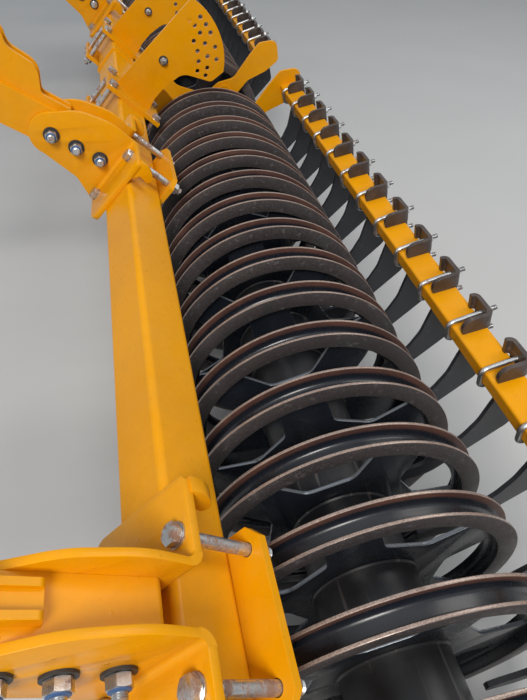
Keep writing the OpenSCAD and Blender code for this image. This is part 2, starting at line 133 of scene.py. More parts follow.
@dataclass(frozen=True)
class Layout:
    """Places and sizes that several sub-assemblies share. Lengths are in metres.

    A place in a side view is a pair of X and Z. A clamp bolt's place is its distance up the
    beam's face and its sideways distance from the middle of the arm or adjuster plate.

    Attributes:
        axle: The rollers' axis.
        beam: The beam's middle.
        bar: The scraper bars' middle.
        ring_outer_y: Sideways place of the outermost ring's outer face.
        ring_inner_y: Sideways place of the innermost ring's inner face.
        floor_z: Height of the ground under the rings.
        ring_count: Rings in a section.
        ring_w: Width of a ring.
        ring_r: Radius of a ring.
        beam_half: Half the beam's width across its faces.
        clamp_t: Thickness of the plates clamped to the beam.
        bar_tilt: Tilt of the scraper bars, in degrees.
        arm_places: Sideways places of the arms' middles.
        cheek_out: Sideways distance from an arm's middle to its brackets' outer faces.
        arm_bolt: Rearmost bolt of an arm, forwards of the axle and over it.
        arm_bolt_pitch: Spacing of an arm's bolts.
        arm_slope: Slope of their row, in degrees.
        upper_bolt: Place of an arm's upper clamp bolts.
        lower_bolt: Place of its lower clamp bolts.
    """

    axle: Point
    beam: Point
    bar: Point
    ring_outer_y: float
    ring_inner_y: float
    floor_z: float
    ring_count: int = 16
    ring_w: float = 49 * MM
    ring_r: float = 315 * MM
    beam_half: float = 60 * MM
    clamp_t: float = 15 * MM
    bar_tilt: float = 10.0
    arm_places: tuple[float, ...] = (-2.278, -0.925, 0.925, 2.278)
    cheek_out: float = 49 * MM
    arm_bolt: Point = (428 * MM, 403 * MM)
    arm_bolt_pitch: float = 71 * MM
    arm_slope: float = 36.0
    upper_bolt: Point = (95 * MM, 93 * MM)
    lower_bolt: Point = (-74 * MM, 67 * MM)

    @classmethod
    def from_frame(cls) -> "Layout":
        """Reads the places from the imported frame.

        Returns:
            The layout of this model.
        """
        pos = frame["joints"][0]["pos_m"]
        beam_low, beam_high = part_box("beam")
        bar_low, bar_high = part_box("left_scraper_bar")
        ring_low, ring_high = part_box("left_rings")
        beam_mid = (beam_low + beam_high) / 2
        bar_mid = (bar_low + bar_high) / 2
        return cls(
            axle=(pos[0], pos[2]),
            beam=(beam_mid.x, beam_mid.z),
            bar=(bar_mid.x, bar_mid.z),
            ring_outer_y=-ring_low.y,
            ring_inner_y=-ring_high.y,
            floor_z=ring_low.z,
        )

    @property
    def ring_pitch(self) -> float:
        """Spacing from ring to ring."""
        return (self.ring_outer_y - self.ring_inner_y - self.ring_w) / (self.ring_count - 1)

    def face_at(self, angle: float, along: float, out: float) -> Point:
        """A point beside the beam.

        Args:
            angle: Direction that the beam's face looks in, in X and Z, in degrees.
            along: Distance along that face from its middle.
            out: Distance from the beam's centre along the face's normal.

        Returns:
            The point in X and Z.
        """
        c, n = polar(1.0, angle)
        return self.beam[0] + out * c + along * n, self.beam[1] + out * n - along * c

    def arm_at(self, along: float, over: float) -> Vector:
        """A point in the arm's own directions, in X and Z.

        Args:
            along: Distance forwards along the row of bolts.
            over: Distance over the row.

        Returns:
            The point.
        """
        c, n = polar(1.0, self.arm_slope)
        x = self.axle[0] - self.arm_bolt[0] - along * c + over * n
        return Vector((x, self.axle[1] + self.arm_bolt[1] + along * n + over * c))

    def gap_places(self) -> list[float]:
        """Distances of the gaps between rings from the middle of the machine."""
        first = self.ring_outer_y - self.ring_w - (self.ring_pitch - self.ring_w) / 2
        return [first - k * self.ring_pitch for k in range(self.ring_count - 1)]


def axis_frame(origin: Sequence[float], direction: Sequence[float]) -> Matrix:
    """A matrix that puts local Z along a direction.

    Args:
        origin: Where the local origin goes.
        direction: The direction of local Z.

    Returns:
        A rigid transform.
    """
    turn = Vector(direction).to_track_quat("Z", "Y").to_matrix().to_4x4()
    return Matrix.Translation(Vector(origin)) @ turn


class MeshMaker:
    """Gathers closed shapes into one mesh."""

    def __init__(self) -> None:
        """Starts with nothing in it."""
        self.points: list[Vector] = []
        self.faces: list[list[int]] = []

    def add(self, points: Iterable[Place], faces: Iterable[Sequence[int]], place: Matrix) -> None:
        """Adds points and faces under a transform.

        Args:
            points: Local points.
            faces: Rows of indices into those points.
            place: The transform that puts them in the frame.
        """
        start = len(self.points)
        self.points.extend(place @ Vector(p) for p in points)
        flip = place.determinant() < 0
        for face in faces:
            row = [start + i for i in face]
            self.faces.append(row[::-1] if flip else row)

    def lathe(self, profile: Sequence[Point], place: Matrix, steps: int = 24,
              shape: Callable[[float, float, float], Point] | None = None) -> None:
        """Turns a profile about local Z.

        Args:
            profile: Rows of radius and height, from one end of the axis to the other.
            place: The transform that puts the shape in the frame.
            steps: Number of steps round the axis.
            shape: Changes a radius and height at an angle, for shapes that aren't round.
        """
        points = []
        faces = []
        rings = []
        for radius, height in profile:
            ring = []
            for k in range(steps):
                angle = TAU * k / steps
                r, z = shape(radius, height, angle) if shape else (radius, height)
                if radius < 1e-7 and k:
                    ring.append(ring[0])
                    continue
                points.append((r * math.cos(angle), r * math.sin(angle), z))
                ring.append(len(points) - 1)
            rings.append(ring)
        for low, high in zip(rings, rings[1:]):
            for k in range(steps):
                m = (k + 1) % steps
                face = []
                for i in (low[k], low[m], high[m], high[k]):
                    if i not in face:
                        face.append(i)
                if len(face) > 2:
                    faces.append(face)
        self.add(points, faces, place)

    def loop_lathe(self, profile: Sequence[Point], place: Matrix, steps: int) -> None:
        """Turns a closed profile about local Z into a ring.

        Args:
            profile: Rows of radius and height, round the section.
            place: The transform that puts the ring in the frame.
            steps: Number of steps round the axis.
        """
        count = len(profile)
        points = []
        for k in range(steps):
            c, s = math.cos(TAU * k / steps), math.sin(TAU * k / steps)
            points.extend((r * c, r * s, z) for r, z in profile)
        faces = []
        for k in range(steps):
            m = (k + 1) % steps
            for i in range(count):
                j = (i + 1) % count
                faces.append([k * count + i, m * count + i, m * count + j, k * count + j])
        self.add(points, faces, place)

    def tube(self, route: Sequence[Vector], radius: float, steps: int = 12) -> None:
        """Sweeps a round section along a route, with flat ends.

        Args:
            route: Points along the middle.
            radius: Radius of the section.
            steps: Number of steps round the section.
        """
        points = []
        side = Vector((0, 1, 0))
        for i, p in enumerate(route):
            ahead = route[min(i + 1, len(route) - 1)] - route[max(i - 1, 0)]
            ahead.normalize()
            if abs(ahead.dot(side)) > 0.9:
                side = Vector((1, 0, 0))
            u = ahead.cross(side).normalized()
            v = ahead.cross(u)
            for k in range(steps):
                a = TAU * k / steps
                points.append(p + radius * (math.cos(a) * u + math.sin(a) * v))
        faces = []
        for i in range(len(route) - 1):
            for k in range(steps):
                m = (k + 1) % steps
                low, high = i * steps, (i + 1) * steps
                faces.append([low + k, low + m, high + m, high + k])
        faces.append(list(range(steps))[::-1])
        faces.append([(len(route) - 1) * steps + k for k in range(steps)])
        self.add(points, faces, Matrix.Identity(4))

    def add_mesh(self, mesh: Mesh, place: Matrix) -> None:
        """Adds a copy of a finished mesh under a transform."""
        self.add([v.co for v in mesh.vertices], [list(p.vertices) for p in mesh.polygons], place)

    def build(self, name: str, material: Material) -> Object:
        """Makes the object.

        Args:
            name: The object's name.
            material: Its material.

        Returns:
            The new object, linked to the scene.
        """
        mesh = bpy.data.meshes.new(name)
        mesh.from_pydata(self.points, [], self.faces)
        mesh.validate()
        with mesh_work(mesh) as work:
            bmesh.ops.recalc_face_normals(work, faces=work.faces)
        return make_object(name, mesh, material)


@contextmanager
def mesh_work(mesh: Mesh) -> Iterator[bmesh.types.BMesh]:
    """Opens a mesh for bmesh's tools and writes it back.

    Args:
        mesh: The mesh.

    Yields:
        The opened mesh.
    """
    work = bmesh.new()
    work.from_mesh(mesh)
    yield work
    work.to_mesh(mesh)
    work.free()


def make_object(name: str, mesh: Mesh, material: Material) -> Object:
    """Links a mesh as an object with smooth faces and hard creases.

    Args:
        name: The object's name.
        mesh: Its mesh.
        material: Its material.

    Returns:
        The new object.
    """
    mesh.materials.clear()
    mesh.materials.append(material)
    mesh.polygons.foreach_set("use_smooth", [True] * len(mesh.polygons))
    mesh.set_sharp_from_angle(angle=CREASE)
    obj = bpy.data.objects.new(name, mesh)
    bpy.context.scene.collection.objects.link(obj)
    return obj


def evaluated_mesh(obj: Object) -> Mesh:
    """The mesh of an object with its modifiers or its curve's bevel carried out.

    Args:
        obj: The object.

    Returns:
        A new mesh.
    """
    bpy.context.view_layer.update()
    graph = bpy.context.evaluated_depsgraph_get()
    return bpy.data.meshes.new_from_object(obj.evaluated_get(graph))


def dressed_copy(node: str, material: Material, edge: float) -> Object:
    """Copies a CAD node with its sharp edges rounded.

    Args:
        node: The node's name.
        material: The copy's material.
        edge: Radius of its edges.

    Returns:
        The new piece.
    """
    source = frame["nodes"][node].data
    mesh = bpy.data.meshes.new(node + "_dressed")
    faces = [list(p.vertices) for p in source.polygons]
    mesh.from_pydata([v.co for v in source.vertices], [], faces)
    with mesh_work(mesh) as work:
        bmesh.ops.remove_doubles(work, verts=work.verts, dist=2e-5)
        bmesh.ops.dissolve_limit(work, angle_limit=FLAT, verts=work.verts, edges=work.edges)
        bmesh.ops.recalc_face_normals(work, faces=work.faces)
    obj = make_object(mesh.name, mesh, material)
    bevel = obj.modifiers.new("edges", "BEVEL")
    bevel.width = edge
    bevel.segments = 2
    bevel.limit_method = "ANGLE"
    bevel.angle_limit = CREASE
    bevel.miter_outer = "MITER_ARC"
    even = obj.modifiers.new("even", "WEIGHTED_NORMAL")
    even.keep_sharp = True
    done = evaluated_mesh(obj)
    obj.modifiers.clear()
    obj.data = done
    return obj


class EffectGroup:
    """A shader node group with named inputs and outputs."""

    def __init__(self, name: str, inputs: dict[str, float], outputs: Sequence[str]) -> None:
        """Opens the group.

        Args:
            name: The group's name.
            inputs: Default of each input by its name.
            outputs: Names of the outputs.
        """
        self.tree = bpy.data.node_groups.new(name, "ShaderNodeTree")
        sides = self.tree.interface
        sides.new_socket("Vector", in_out="INPUT", socket_type="NodeSocketVector")
        for label, value in inputs.items():
            socket = sides.new_socket(label, in_out="INPUT", socket_type="NodeSocketFloat")
            socket.default_value = value
        for label in outputs:
            sides.new_socket(label, in_out="OUTPUT", socket_type="NodeSocketFloat")
        self.source = self.tree.nodes.new("NodeGroupInput")
        self.sink = self.tree.nodes.new("NodeGroupOutput")

    def __getitem__(self, label: str) -> Socket:
        """The input of that name, as the nodes inside read it."""
        return self.source.outputs[label]

    def give(self, label: str, socket: Socket) -> None:
        """Sends a value out of the group."""
        self.tree.links.new(socket, self.sink.inputs[label])


class Wiring:
    """Short ways to add nodes to one tree."""

    def __init__(self, tree: bpy.types.NodeTree) -> None:
        """Works on one node tree."""
        self.tree = tree

    def put(self, socket: Socket, value: object) -> None:
        """Links a socket, or sets it where the value is plain.

        Args:
            socket: The input.
            value: A socket, or a plain value.
        """
        if isinstance(value, Socket):
            self.tree.links.new(value, socket)
        else:
            socket.default_value = value

    def math(self, operation: str, a: object, b: object = 0.0, c: object = 0.0) -> Socket:
        """A Math node.

        Args:
            operation: What it does.
            a: Its first value, plain or from a socket.
            b: Its second value.
            c: Its third value.

        Returns:
            The result.
        """
        node = self.tree.nodes.new("ShaderNodeMath")
        node.operation = operation
        for socket, value in zip(node.inputs, (a, b, c)):
            self.put(socket, value)
        return node.outputs[0]

    def times(self, *values: object) -> Socket:
        """The product of two or more values.

        Args:
            values: Sockets or plain numbers.

        Returns:
            The product.
        """
        total = values[0]
        for value in values[1:]:
            total = self.math("MULTIPLY", total, value)
        return total

    def plus(self, a: object, b: object) -> Socket:
        """The sum of two values."""
        return self.math("ADD", a, b)

    def minus(self, a: object, b: object) -> Socket:
        """The first value less the second."""
        return self.math("SUBTRACT", a, b)

    def noise(self, vector: object, scale: object, detail: float = 3.0, rough: float = 0.5,
              distortion: float = 0.0) -> Socket:
        """A Noise Texture's value.

        Args:
            vector: Where it is looked up.
            scale: Its scale.
            detail: How many finer layers it has.
            rough: How strong the finer layers are.
            distortion: How far it is bent.

        Returns:
            The value.
        """
        node = self.tree.nodes.new("ShaderNodeTexNoise")
        self.put(node.inputs["Vector"], vector)
        self.put(node.inputs["Scale"], scale)
        node.inputs["Detail"].default_value = detail
        node.inputs["Roughness"].default_value = rough
        node.inputs["Distortion"].default_value = distortion
        return node.outputs["Fac"]

    def voronoi(self, vector: object, scale: object, output: str) -> Socket:
        """A Voronoi Texture's output of that name.

        Args:
            vector: Where it is looked up.
            scale: Its scale.
            output: The name.

        Returns:
            The output.
        """
        node = self.tree.nodes.new("ShaderNodeTexVoronoi")
        self.put(node.inputs["Vector"], vector)
        self.put(node.inputs["Scale"], scale)
        return node.outputs[output]

    def split(self, vector: Socket) -> list[Socket]:
        """The three parts of a vector or a colour.

        Args:
            vector: The vector or colour.

        Returns:
            The parts in order.
        """
        colour = vector.type == "RGBA"
        kind = "ShaderNodeSeparateColor" if colour else "ShaderNodeSeparateXYZ"
        node = self.tree.nodes.new(kind)
        self.put(node.inputs[0], vector)
        return list(node.outputs)

    def span(self, value: object, low: float, high: float) -> Socket:
        """A soft step from 0 at the low value to 1 at the high one.

        Args:
            value: The value that is looked at.
            low: Where the step starts.
            high: Where it ends, which may be under the low value.

        Returns:
            The step.
        """
        node = self.tree.nodes.new("ShaderNodeMapRange")
        node.interpolation_type = "SMOOTHSTEP"
        self.put(node.inputs["Value"], value)
        for label, number in (("From Min", low), ("From Max", high)):
            self.put(node.inputs[label], number)
        return node.outputs["Result"]

    def blend(self, factor: object, a: object, b: object) -> Socket:
        """A Mix node on colours.

        Args:
            factor: How much of the second colour shows.
            a: The first colour.
            b: The second colour.

        Returns:
            The mixed colour.
        """
        node = self.tree.nodes.new("ShaderNodeMix")
        node.data_type = "RGBA"
        self.put(node.inputs[0], factor)
        for socket, value in ((node.inputs[6], a), (node.inputs[7], b)):
            self.put(socket, (*value, 1.0) if isinstance(value, tuple) else value)
        return node.outputs[2]

    def group(self, effect: EffectGroup, vector: object, **values: object) -> dict[str, Socket]:
        """Places an effect group with its own values.

        Args:
            effect: The group.
            vector: Where it is looked up.
            values: Its inputs, by their names in small letters with low lines for spaces.

        Returns:
            The outputs by name.
        """
        node = self.tree.nodes.new("ShaderNodeGroup")
        node.node_tree = effect.tree
        self.put(node.inputs["Vector"], vector)
        for label, value in values.items():
            self.put(node.inputs[label.replace("_", " ").capitalize()], value)
        return {socket.name: socket for socket in node.outputs}


class Effects:
    """The effects that several finishes share."""

    def __init__(self) -> None:
        """Builds each group once."""
        self.grime = self._grime()
        self.droplets = self._droplets()
        self.rust = self._rust()
        self.around_axle = self._around_axle()
        self.scratches = self._scratches()

    @staticmethod
    def _grime() -> EffectGroup:
        """Slow changes of tone, with finer spots in them.

        Returns:
            The group.
        """
        group = EffectGroup("grime", {"Size": 6.0, "Amount": 0.5}, ["Mask"])
        w = Wiring(group.tree)
        wide = w.noise(group["Vector"], group["Size"], 5.0, 0.62)
        fine = w.noise(group["Vector"], w.times(group["Size"], 14.0), 3.0, 0.7)
        both = w.plus(w.times(wide, 0.72), w.times(fine, 0.28))
        group.give("Mask", w.times(w.span(both, 0.38, 0.68), group["Amount"]))
        return group

    @staticmethod
    def _droplets() -> EffectGroup:
        """Small round drops of water that sit on a surface.

        Returns:
            The group.
        """
        group = EffectGroup("droplets", {"Size": 130.0, "Share": 0.3}, ["Height", "Mask"])
        w = Wiring(group.tree)
        distance = w.voronoi(group["Vector"], group["Size"], "Distance")
        chance, breadth = w.split(w.voronoi(group["Vector"], group["Size"], "Color"))[:2]
        chosen = w.math("LESS_THAN", chance, group["Share"])
        reach = w.math("MULTIPLY_ADD", breadth, 0.26, 0.12)
        dome = w.minus(1.0, w.math("DIVIDE", distance, reach))
        height = w.times(w.math("SQRT", w.math("MAXIMUM", dome, 0.0)), chosen)
        group.give("Height", height)
        group.give("Mask", w.math("GREATER_THAN", height, 0.05))
        return group

    @staticmethod
    def _rust() -> EffectGroup:
        """Patches of rust with ragged edges.

        Returns:
            The group.
        """
        group = EffectGroup("rust", {"Size": 12.0, "Amount": 0.4}, ["Mask", "Height"])
        w = Wiring(group.tree)
        wide = w.noise(group["Vector"], group["Size"], 6.0, 0.66, 0.4)
        fine = w.noise(group["Vector"], w.times(group["Size"], 20.0), 4.0, 0.7)
        total = w.plus(wide, w.times(w.minus(fine, 0.5), 0.35))
        edge = w.times(w.minus(1.0, group["Amount"]), 0.62)
        mask = w.span(w.minus(total, edge), 0.0, 0.12)
        group.give("Mask", mask)
        group.give("Height", w.times(mask, fine))
        return group

    @staticmethod
    def _around_axle() -> EffectGroup:
        """Distance from the roller's axis, from the object's own coordinates.

        Returns:
            The group.
        """
        group = EffectGroup("around_axle", {"Axle x": 0.0, "Axle z": 0.0}, ["Radius"])
        w = Wiring(group.tree)
        x, _, z = w.split(group["Vector"])
        dx, dz = w.minus(x, group["Axle x"]), w.minus(z, group["Axle z"])
        group.give("Radius", w.math("SQRT", w.plus(w.times(dx, dx), w.times(dz, dz))))
        return group

    @staticmethod
    def _scratches() -> EffectGroup:
        """Thin straight scratches in two directions.

        Returns:
            The group.
        """
        group = EffectGroup("scratches", {"Size": 40.0, "Amount": 0.4}, ["Mask"])
        w = Wiring(group.tree)
        masks = []
        for turn in (0.35, 1.9):
            mapping = group.tree.nodes.new("ShaderNodeMapping")
            w.put(mapping.inputs["Vector"], group["Vector"])
            mapping.inputs["Rotation"].default_value = (turn, turn * 0.6, turn * 1.3)
            mapping.inputs["Scale"].default_value = (1.0, 0.06, 1.0)
            line = w.noise(mapping.outputs[0], group["Size"], 2.0, 0.5)
            masks.append(w.span(line, 0.66, 0.70))
        group.give("Mask", w.times(w.math("MAXIMUM", *masks), group["Amount"]))
        return group


class Finish:
    """Base of the finishes: opens a material and closes its shader."""

    name: str
    slot: str

    def open(self) -> tuple[Material, Wiring, Socket, bpy.types.ShaderNode]:
        """Starts a material.

        Returns:
            The material, its wiring, the object coordinates and the Principled shader.
        """
        material = bpy.data.materials.new(self.name)
        material.use_nodes = True
        tree = material.node_tree
        shader = tree.nodes["Principled BSDF"]
        where = tree.nodes.new("ShaderNodeTexCoord").outputs["Object"]
        return material, Wiring(tree), where, shader

    @staticmethod
    def bump(w: Wiring, shader: bpy.types.ShaderNode, height: object, strength: float,
             distance: float) -> None:
        """Feeds a height to the shader's normal.

        Args:
            w: The material's wiring.
            shader: The Principled shader.
            height: The height.
            strength: How strongly it shows.
            distance: How deep a height of 1 is.
        """
        node = w.tree.nodes.new("ShaderNodeBump")
        node.inputs["Strength"].default_value = strength
        node.inputs["Distance"].default_value = distance
        w.put(node.inputs["Height"], height)
        w.put(shader.inputs["Normal"], node.outputs["Normal"])

    def make(self, effects: Effects) -> Material:
        """Builds the material from the shared effects.

        Args:
            effects: The shared effects.

        Returns:
            The material.
        """
        raise NotImplementedError


@dataclass(frozen=True)
class EnamelPaint(Finish):
    """Glossy orange yellow machine enamel, with dust and drops of water.

    Attributes:
        colour: The clean paint.
        deep: The paint in its deeper patches.
        dust: Colour of the dust.
        dusty: How much of the dust covers.
        drop_size: Drops to a metre.
        drop_share: Share of the places that hold a drop.
        rough: Roughness of the clean paint.
        gloss: Its specular level.
        coat: Weight of its clear coat.
        coat_rough: Roughness of that coat.
        relief: Depth of the drops.
    """

    name: str = "yellow_enamel"
    slot: str = "yellow_paint"
    colour: Rgb = (0.80, 0.335, 0.0)
    deep: Rgb = (0.66, 0.262, 0.0)
    dust: Rgb = (0.60, 0.36, 0.10)
    dusty: float = 0.12
    drop_size: float = 95.0
    drop_share: float = 0.16
    rough: float = 0.28
    gloss: float = 0.16
    coat: float = 0.06
    coat_rough: float = 0.12
    relief: float = 1.4 * MM

    def make(self, effects: Effects) -> Material:
        """Builds the material from the shared effects.

        Args:
            effects: The shared effects.

        Returns:
            The material.
        """
        material, w, where, shader = self.open()
        tone = w.group(effects.grime, where, size=3.0, amount=0.55)["Mask"]
        dust = w.group(effects.grime, where, size=11.0, amount=self.dusty)["Mask"]
        drops = w.group(effects.droplets, where, size=self.drop_size, share=self.drop_share)
        peel = w.noise(where, 320.0, 2.0, 0.4)
        base = w.blend(dust, w.blend(tone, self.colour, self.deep), self.dust)
        w.put(shader.inputs["Base Color"], base)
        rough = w.plus(w.times(dust, 0.5), self.rough)
        wet = w.minus(1.0, w.times(drops["Mask"], 0.8))
        w.put(shader.inputs["Roughness"], w.times(rough, wet))
        shader.inputs["Specular IOR Level"].default_value = self.gloss
        shader.inputs["Coat Weight"].default_value = self.coat
        shader.inputs["Coat Roughness"].default_value = self.coat_rough
        height = w.plus(w.times(peel, 0.05), w.times(drops["Height"], 0.9))
        self.bump(w, shader, height, 0.35, self.relief)
        return material


@dataclass(frozen=True)
class RingPaint(Finish):
    """Blue black paint of the rings, rubbed to bare metal and rust on the rims.

    Attributes:
        axle: The rollers' axis.
        rim: Radius of a ring.
        outer_y: Sideways place of the outermost ring's outer face.
        pitch: Spacing from ring to ring.
        width: Width of a ring.
        flange: Depth under the rim that the channel's inner faces reach.
        band: Depth under the rim that the outer faces reach.
        worn: Depth under the rim that the inner faces are rusty to.
        hub: Radius where the spider plate meets its weld.
        plate: Radius where the spider plate meets the ring.
        paint: Colour of the paint.
        dull: The paint where it is dirty.
        flank: The rubbed outer faces.
        lip: The bare rims.
        dark_lip: The rims where they are dark.
        bare: Bare metal in scratches.
        rust: Rust.
        cut: Cut edges of the spider plates.
    """

    name: str = "ring_paint"
    slot: str = "roller_paint"
    axle: Point = (0.0, 0.0)
    rim: float = 0.315
    outer_y: float = 2.49
    pitch: float = 0.148
    width: float = 0.049
    flange: float = 36 * MM
    band: float = 47 * MM
    worn: float = 18 * MM
    hub: float = 112 * MM
    plate: float = 262 * MM
    paint: Rgb = (0.011, 0.014, 0.021)
    dull: Rgb = (0.032, 0.032, 0.035)
    flank: Rgb = (0.044, 0.043, 0.045)
    lip: Rgb = (0.46, 0.365, 0.315)
    dark_lip: Rgb = (0.27, 0.185, 0.150)
    bare: Rgb = (0.26, 0.25, 0.25)
    rust: Rgb = (0.115, 0.046, 0.030)
    cut: Rgb = (0.26, 0.29, 0.33)

    def sideways(self, w: Wiring) -> Socket:
        """How far a face looks along the axle, from 0 to 1.

        Args:
            w: The material's wiring.

        Returns:
            The amount.
        """
        geometry = w.tree.nodes.new("ShaderNodeNewGeometry")
        normal = w.tree.nodes.new("ShaderNodeVectorTransform")
        normal.vector_type = "NORMAL"
        normal.convert_from = "WORLD"
        normal.convert_to = "OBJECT"
        w.put(normal.inputs[0], geometry.outputs["Normal"])
        return w.math("ABSOLUTE", w.split(normal.outputs[0])[1])

    def inside(self, w: Wiring, where: Socket, radius: Socket) -> Socket:
        """A mask of the faces inside the channels.

        Args:
            w: The material's wiring.
            where: Object coordinates.
            radius: Distance from the axle.

        Returns:
            The mask.
        """
        depth = w.minus(self.outer_y, w.math("ABSOLUTE", w.split(where)[1]))
        across = w.math("FLOORED_MODULO", depth, self.pitch)
        off = w.math("ABSOLUTE", w.minus(across, self.width / 2))
        between = w.span(off, self.width / 2 - 4.5 * MM, self.width / 2 - 5.5 * MM)
        return w.times(between, w.math("GREATER_THAN", radius, self.rim - self.flange))

    def make(self, effects: Effects) -> Material:
        """Builds the material from the shared effects.

        Args:
            effects: The shared effects.

        Returns:
            The material.
        """
        material, w, where, shader = self.open()
        radius = w.group(effects.around_axle, where, axle_x=self.axle[0],
                         axle_z=self.axle[1])["Radius"]
        sideways = self.sideways(w)
        inside = self.inside(w, where, radius)
        spots = w.group(effects.rust, where, size=9.0, amount=0.5)
        grime = w.group(effects.grime, where, size=7.0, amount=1.0)["Mask"]
        scratch = w.group(effects.scratches, where, size=55.0, amount=0.5)["Mask"]
        grain = w.noise(where, 420.0, 3.0, 0.7)

        band = w.span(radius, self.rim - self.band, self.rim - self.band + 7 * MM)
        outside = w.times(band, w.minus(1.0, inside), w.span(sideways, 0.5, 0.9))
        flank = w.times(outside, w.math("MULTIPLY_ADD", grime, 0.35, 0.6))
        rubbed = w.times(w.span(grain, 0.5, 0.68), outside, 0.5)
        ragged = w.math("MULTIPLY_ADD", w.minus(grain, 0.5), 16 * MM, radius)
        worn = w.span(ragged, self.rim - self.worn, self.rim - self.worn + 8 * MM)
        worn = w.times(worn, inside, w.math("MULTIPLY_ADD", grime, 0.4, 0.55))
        rusty = w.math("MAXIMUM", worn, w.times(spots["Mask"], outside, 0.12))
        edge = w.span(radius, self.rim - 1.7 * MM, self.rim - 0.6 * MM)
        edge = w.times(edge, w.math("MULTIPLY_ADD", grime, 0.25, 0.7))
        lip = w.blend(w.span(grain, 0.4, 0.62), self.lip, self.dark_lip)
        cut = w.times(w.span(radius, self.plate, self.plate - 1 * MM),
                      w.span(sideways, 0.85, 0.6), w.span(radius, self.hub, self.hub + 2 * MM))

        base = w.blend(w.times(grime, 0.25), self.paint, self.dull)
        base = w.blend(flank, base, self.flank)
        base = w.blend(rubbed, base, self.bare)
        base = w.blend(rusty, base, self.rust)
        base = w.blend(w.times(scratch, outside, 0.5), base, self.bare)
        base = w.blend(edge, base, lip)
        base = w.blend(w.times(cut, 0.7), base, self.cut)
        w.put(shader.inputs["Base Color"], base)
        metal = w.math("MAXIMUM", w.times(edge, 0.35), w.times(cut, 0.5))
        w.put(shader.inputs["Metallic"], metal)
        rough = w.plus(w.plus(0.24, w.times(flank, 0.30)), w.times(rusty, 0.35))
        w.put(shader.inputs["Roughness"], w.plus(rough, w.times(grime, 0.08)))
        waves = w.times(w.noise(where, 60.0, 4.0, 0.6), 0.35)
        height = w.plus(w.times(spots["Height"], outside), waves)
        height = w.plus(height, w.times(grain, outside, 0.5))
        self.bump(w, shader, height, 0.35, 1 * MM)
        return material


@dataclass(frozen=True)
class SatinPaint(Finish):
    """Dark satin paint or scale on steel, with rubbed patches.

    Attributes:
        colour: The clean paint.
        rubbed: The paint where it is rubbed.
        rough: Roughness of the clean paint.
        patch: Patches to a metre.
        amount: How far the patches change it.
        scratch: How far the scratches show.
    """

    name: str
    slot: str
    colour: Rgb
    rubbed: Rgb
    rough: float = 0.36
    patch: float = 7.0
    amount: float = 0.5
    scratch: float = 0.5

    def make(self, effects: Effects) -> Material:
        """Builds the material from the shared effects.

        Args:
            effects: The shared effects.

        Returns:
            The material.
        """
        material, w, where, shader = self.open()
        tone = w.group(effects.grime, where, size=self.patch, amount=self.amount)["Mask"]
        scratch = w.group(effects.scratches, where, size=48.0, amount=self.scratch)["Mask"]
        lighter = tuple(min(1.0, c * 2.6 + 0.03) for c in self.rubbed)
        base = w.blend(scratch, w.blend(tone, self.colour, self.rubbed), lighter)
        w.put(shader.inputs["Base Color"], base)
        w.put(shader.inputs["Roughness"], w.plus(self.rough, w.times(tone, 0.22)))
        waves = w.times(w.noise(where, 90.0, 4.0, 0.6), 0.5)
        self.bump(w, shader, w.plus(waves, w.times(scratch, -0.5)), 0.3, 1 * MM)
        return material


@dataclass(frozen=True)
class ZincPlate(Finish):
    """Zinc plated steel with dull bloom and spots of rust."""

    name: str = "zinc_plate"
    slot: str = "zinc"
    wear: Wear = Wear.NEW
    colour: Rgb = (0.62, 0.64, 0.66)
    bloom: Rgb = (0.36, 0.37, 0.38)
    rust: Rgb = (0.23, 0.10, 0.045)

    def make(self, effects: Effects) -> Material:
        """Builds the material from the shared effects.

        Args:
            effects: The shared effects.

        Returns:
            The material.
        """
        material, w, where, shader = self.open()
        tone = w.group(effects.grime, where, size=38.0, amount=0.8)["Mask"]
        spots = w.group(effects.rust, where, size=60.0, amount=self.wear.value)
        rusty = w.times(spots["Mask"], 0.85)
        base = w.blend(rusty, w.blend(tone, self.colour, self.bloom), self.rust)
        w.put(shader.inputs["Base Color"], base)
        w.put(shader.inputs["Metallic"], w.minus(0.95, w.times(rusty, 0.85)))
        rough = w.plus(0.26, w.times(tone, 0.18))
        w.put(shader.inputs["Roughness"], w.plus(rough, w.times(rusty, 0.4)))
        grain = w.times(w.noise(where, 380.0, 3.0, 0.6), 0.4)
        self.bump(w, shader, w.plus(grain, w.times(spots["Height"], 0.6)), 0.25, 0.6 * MM)
        return material


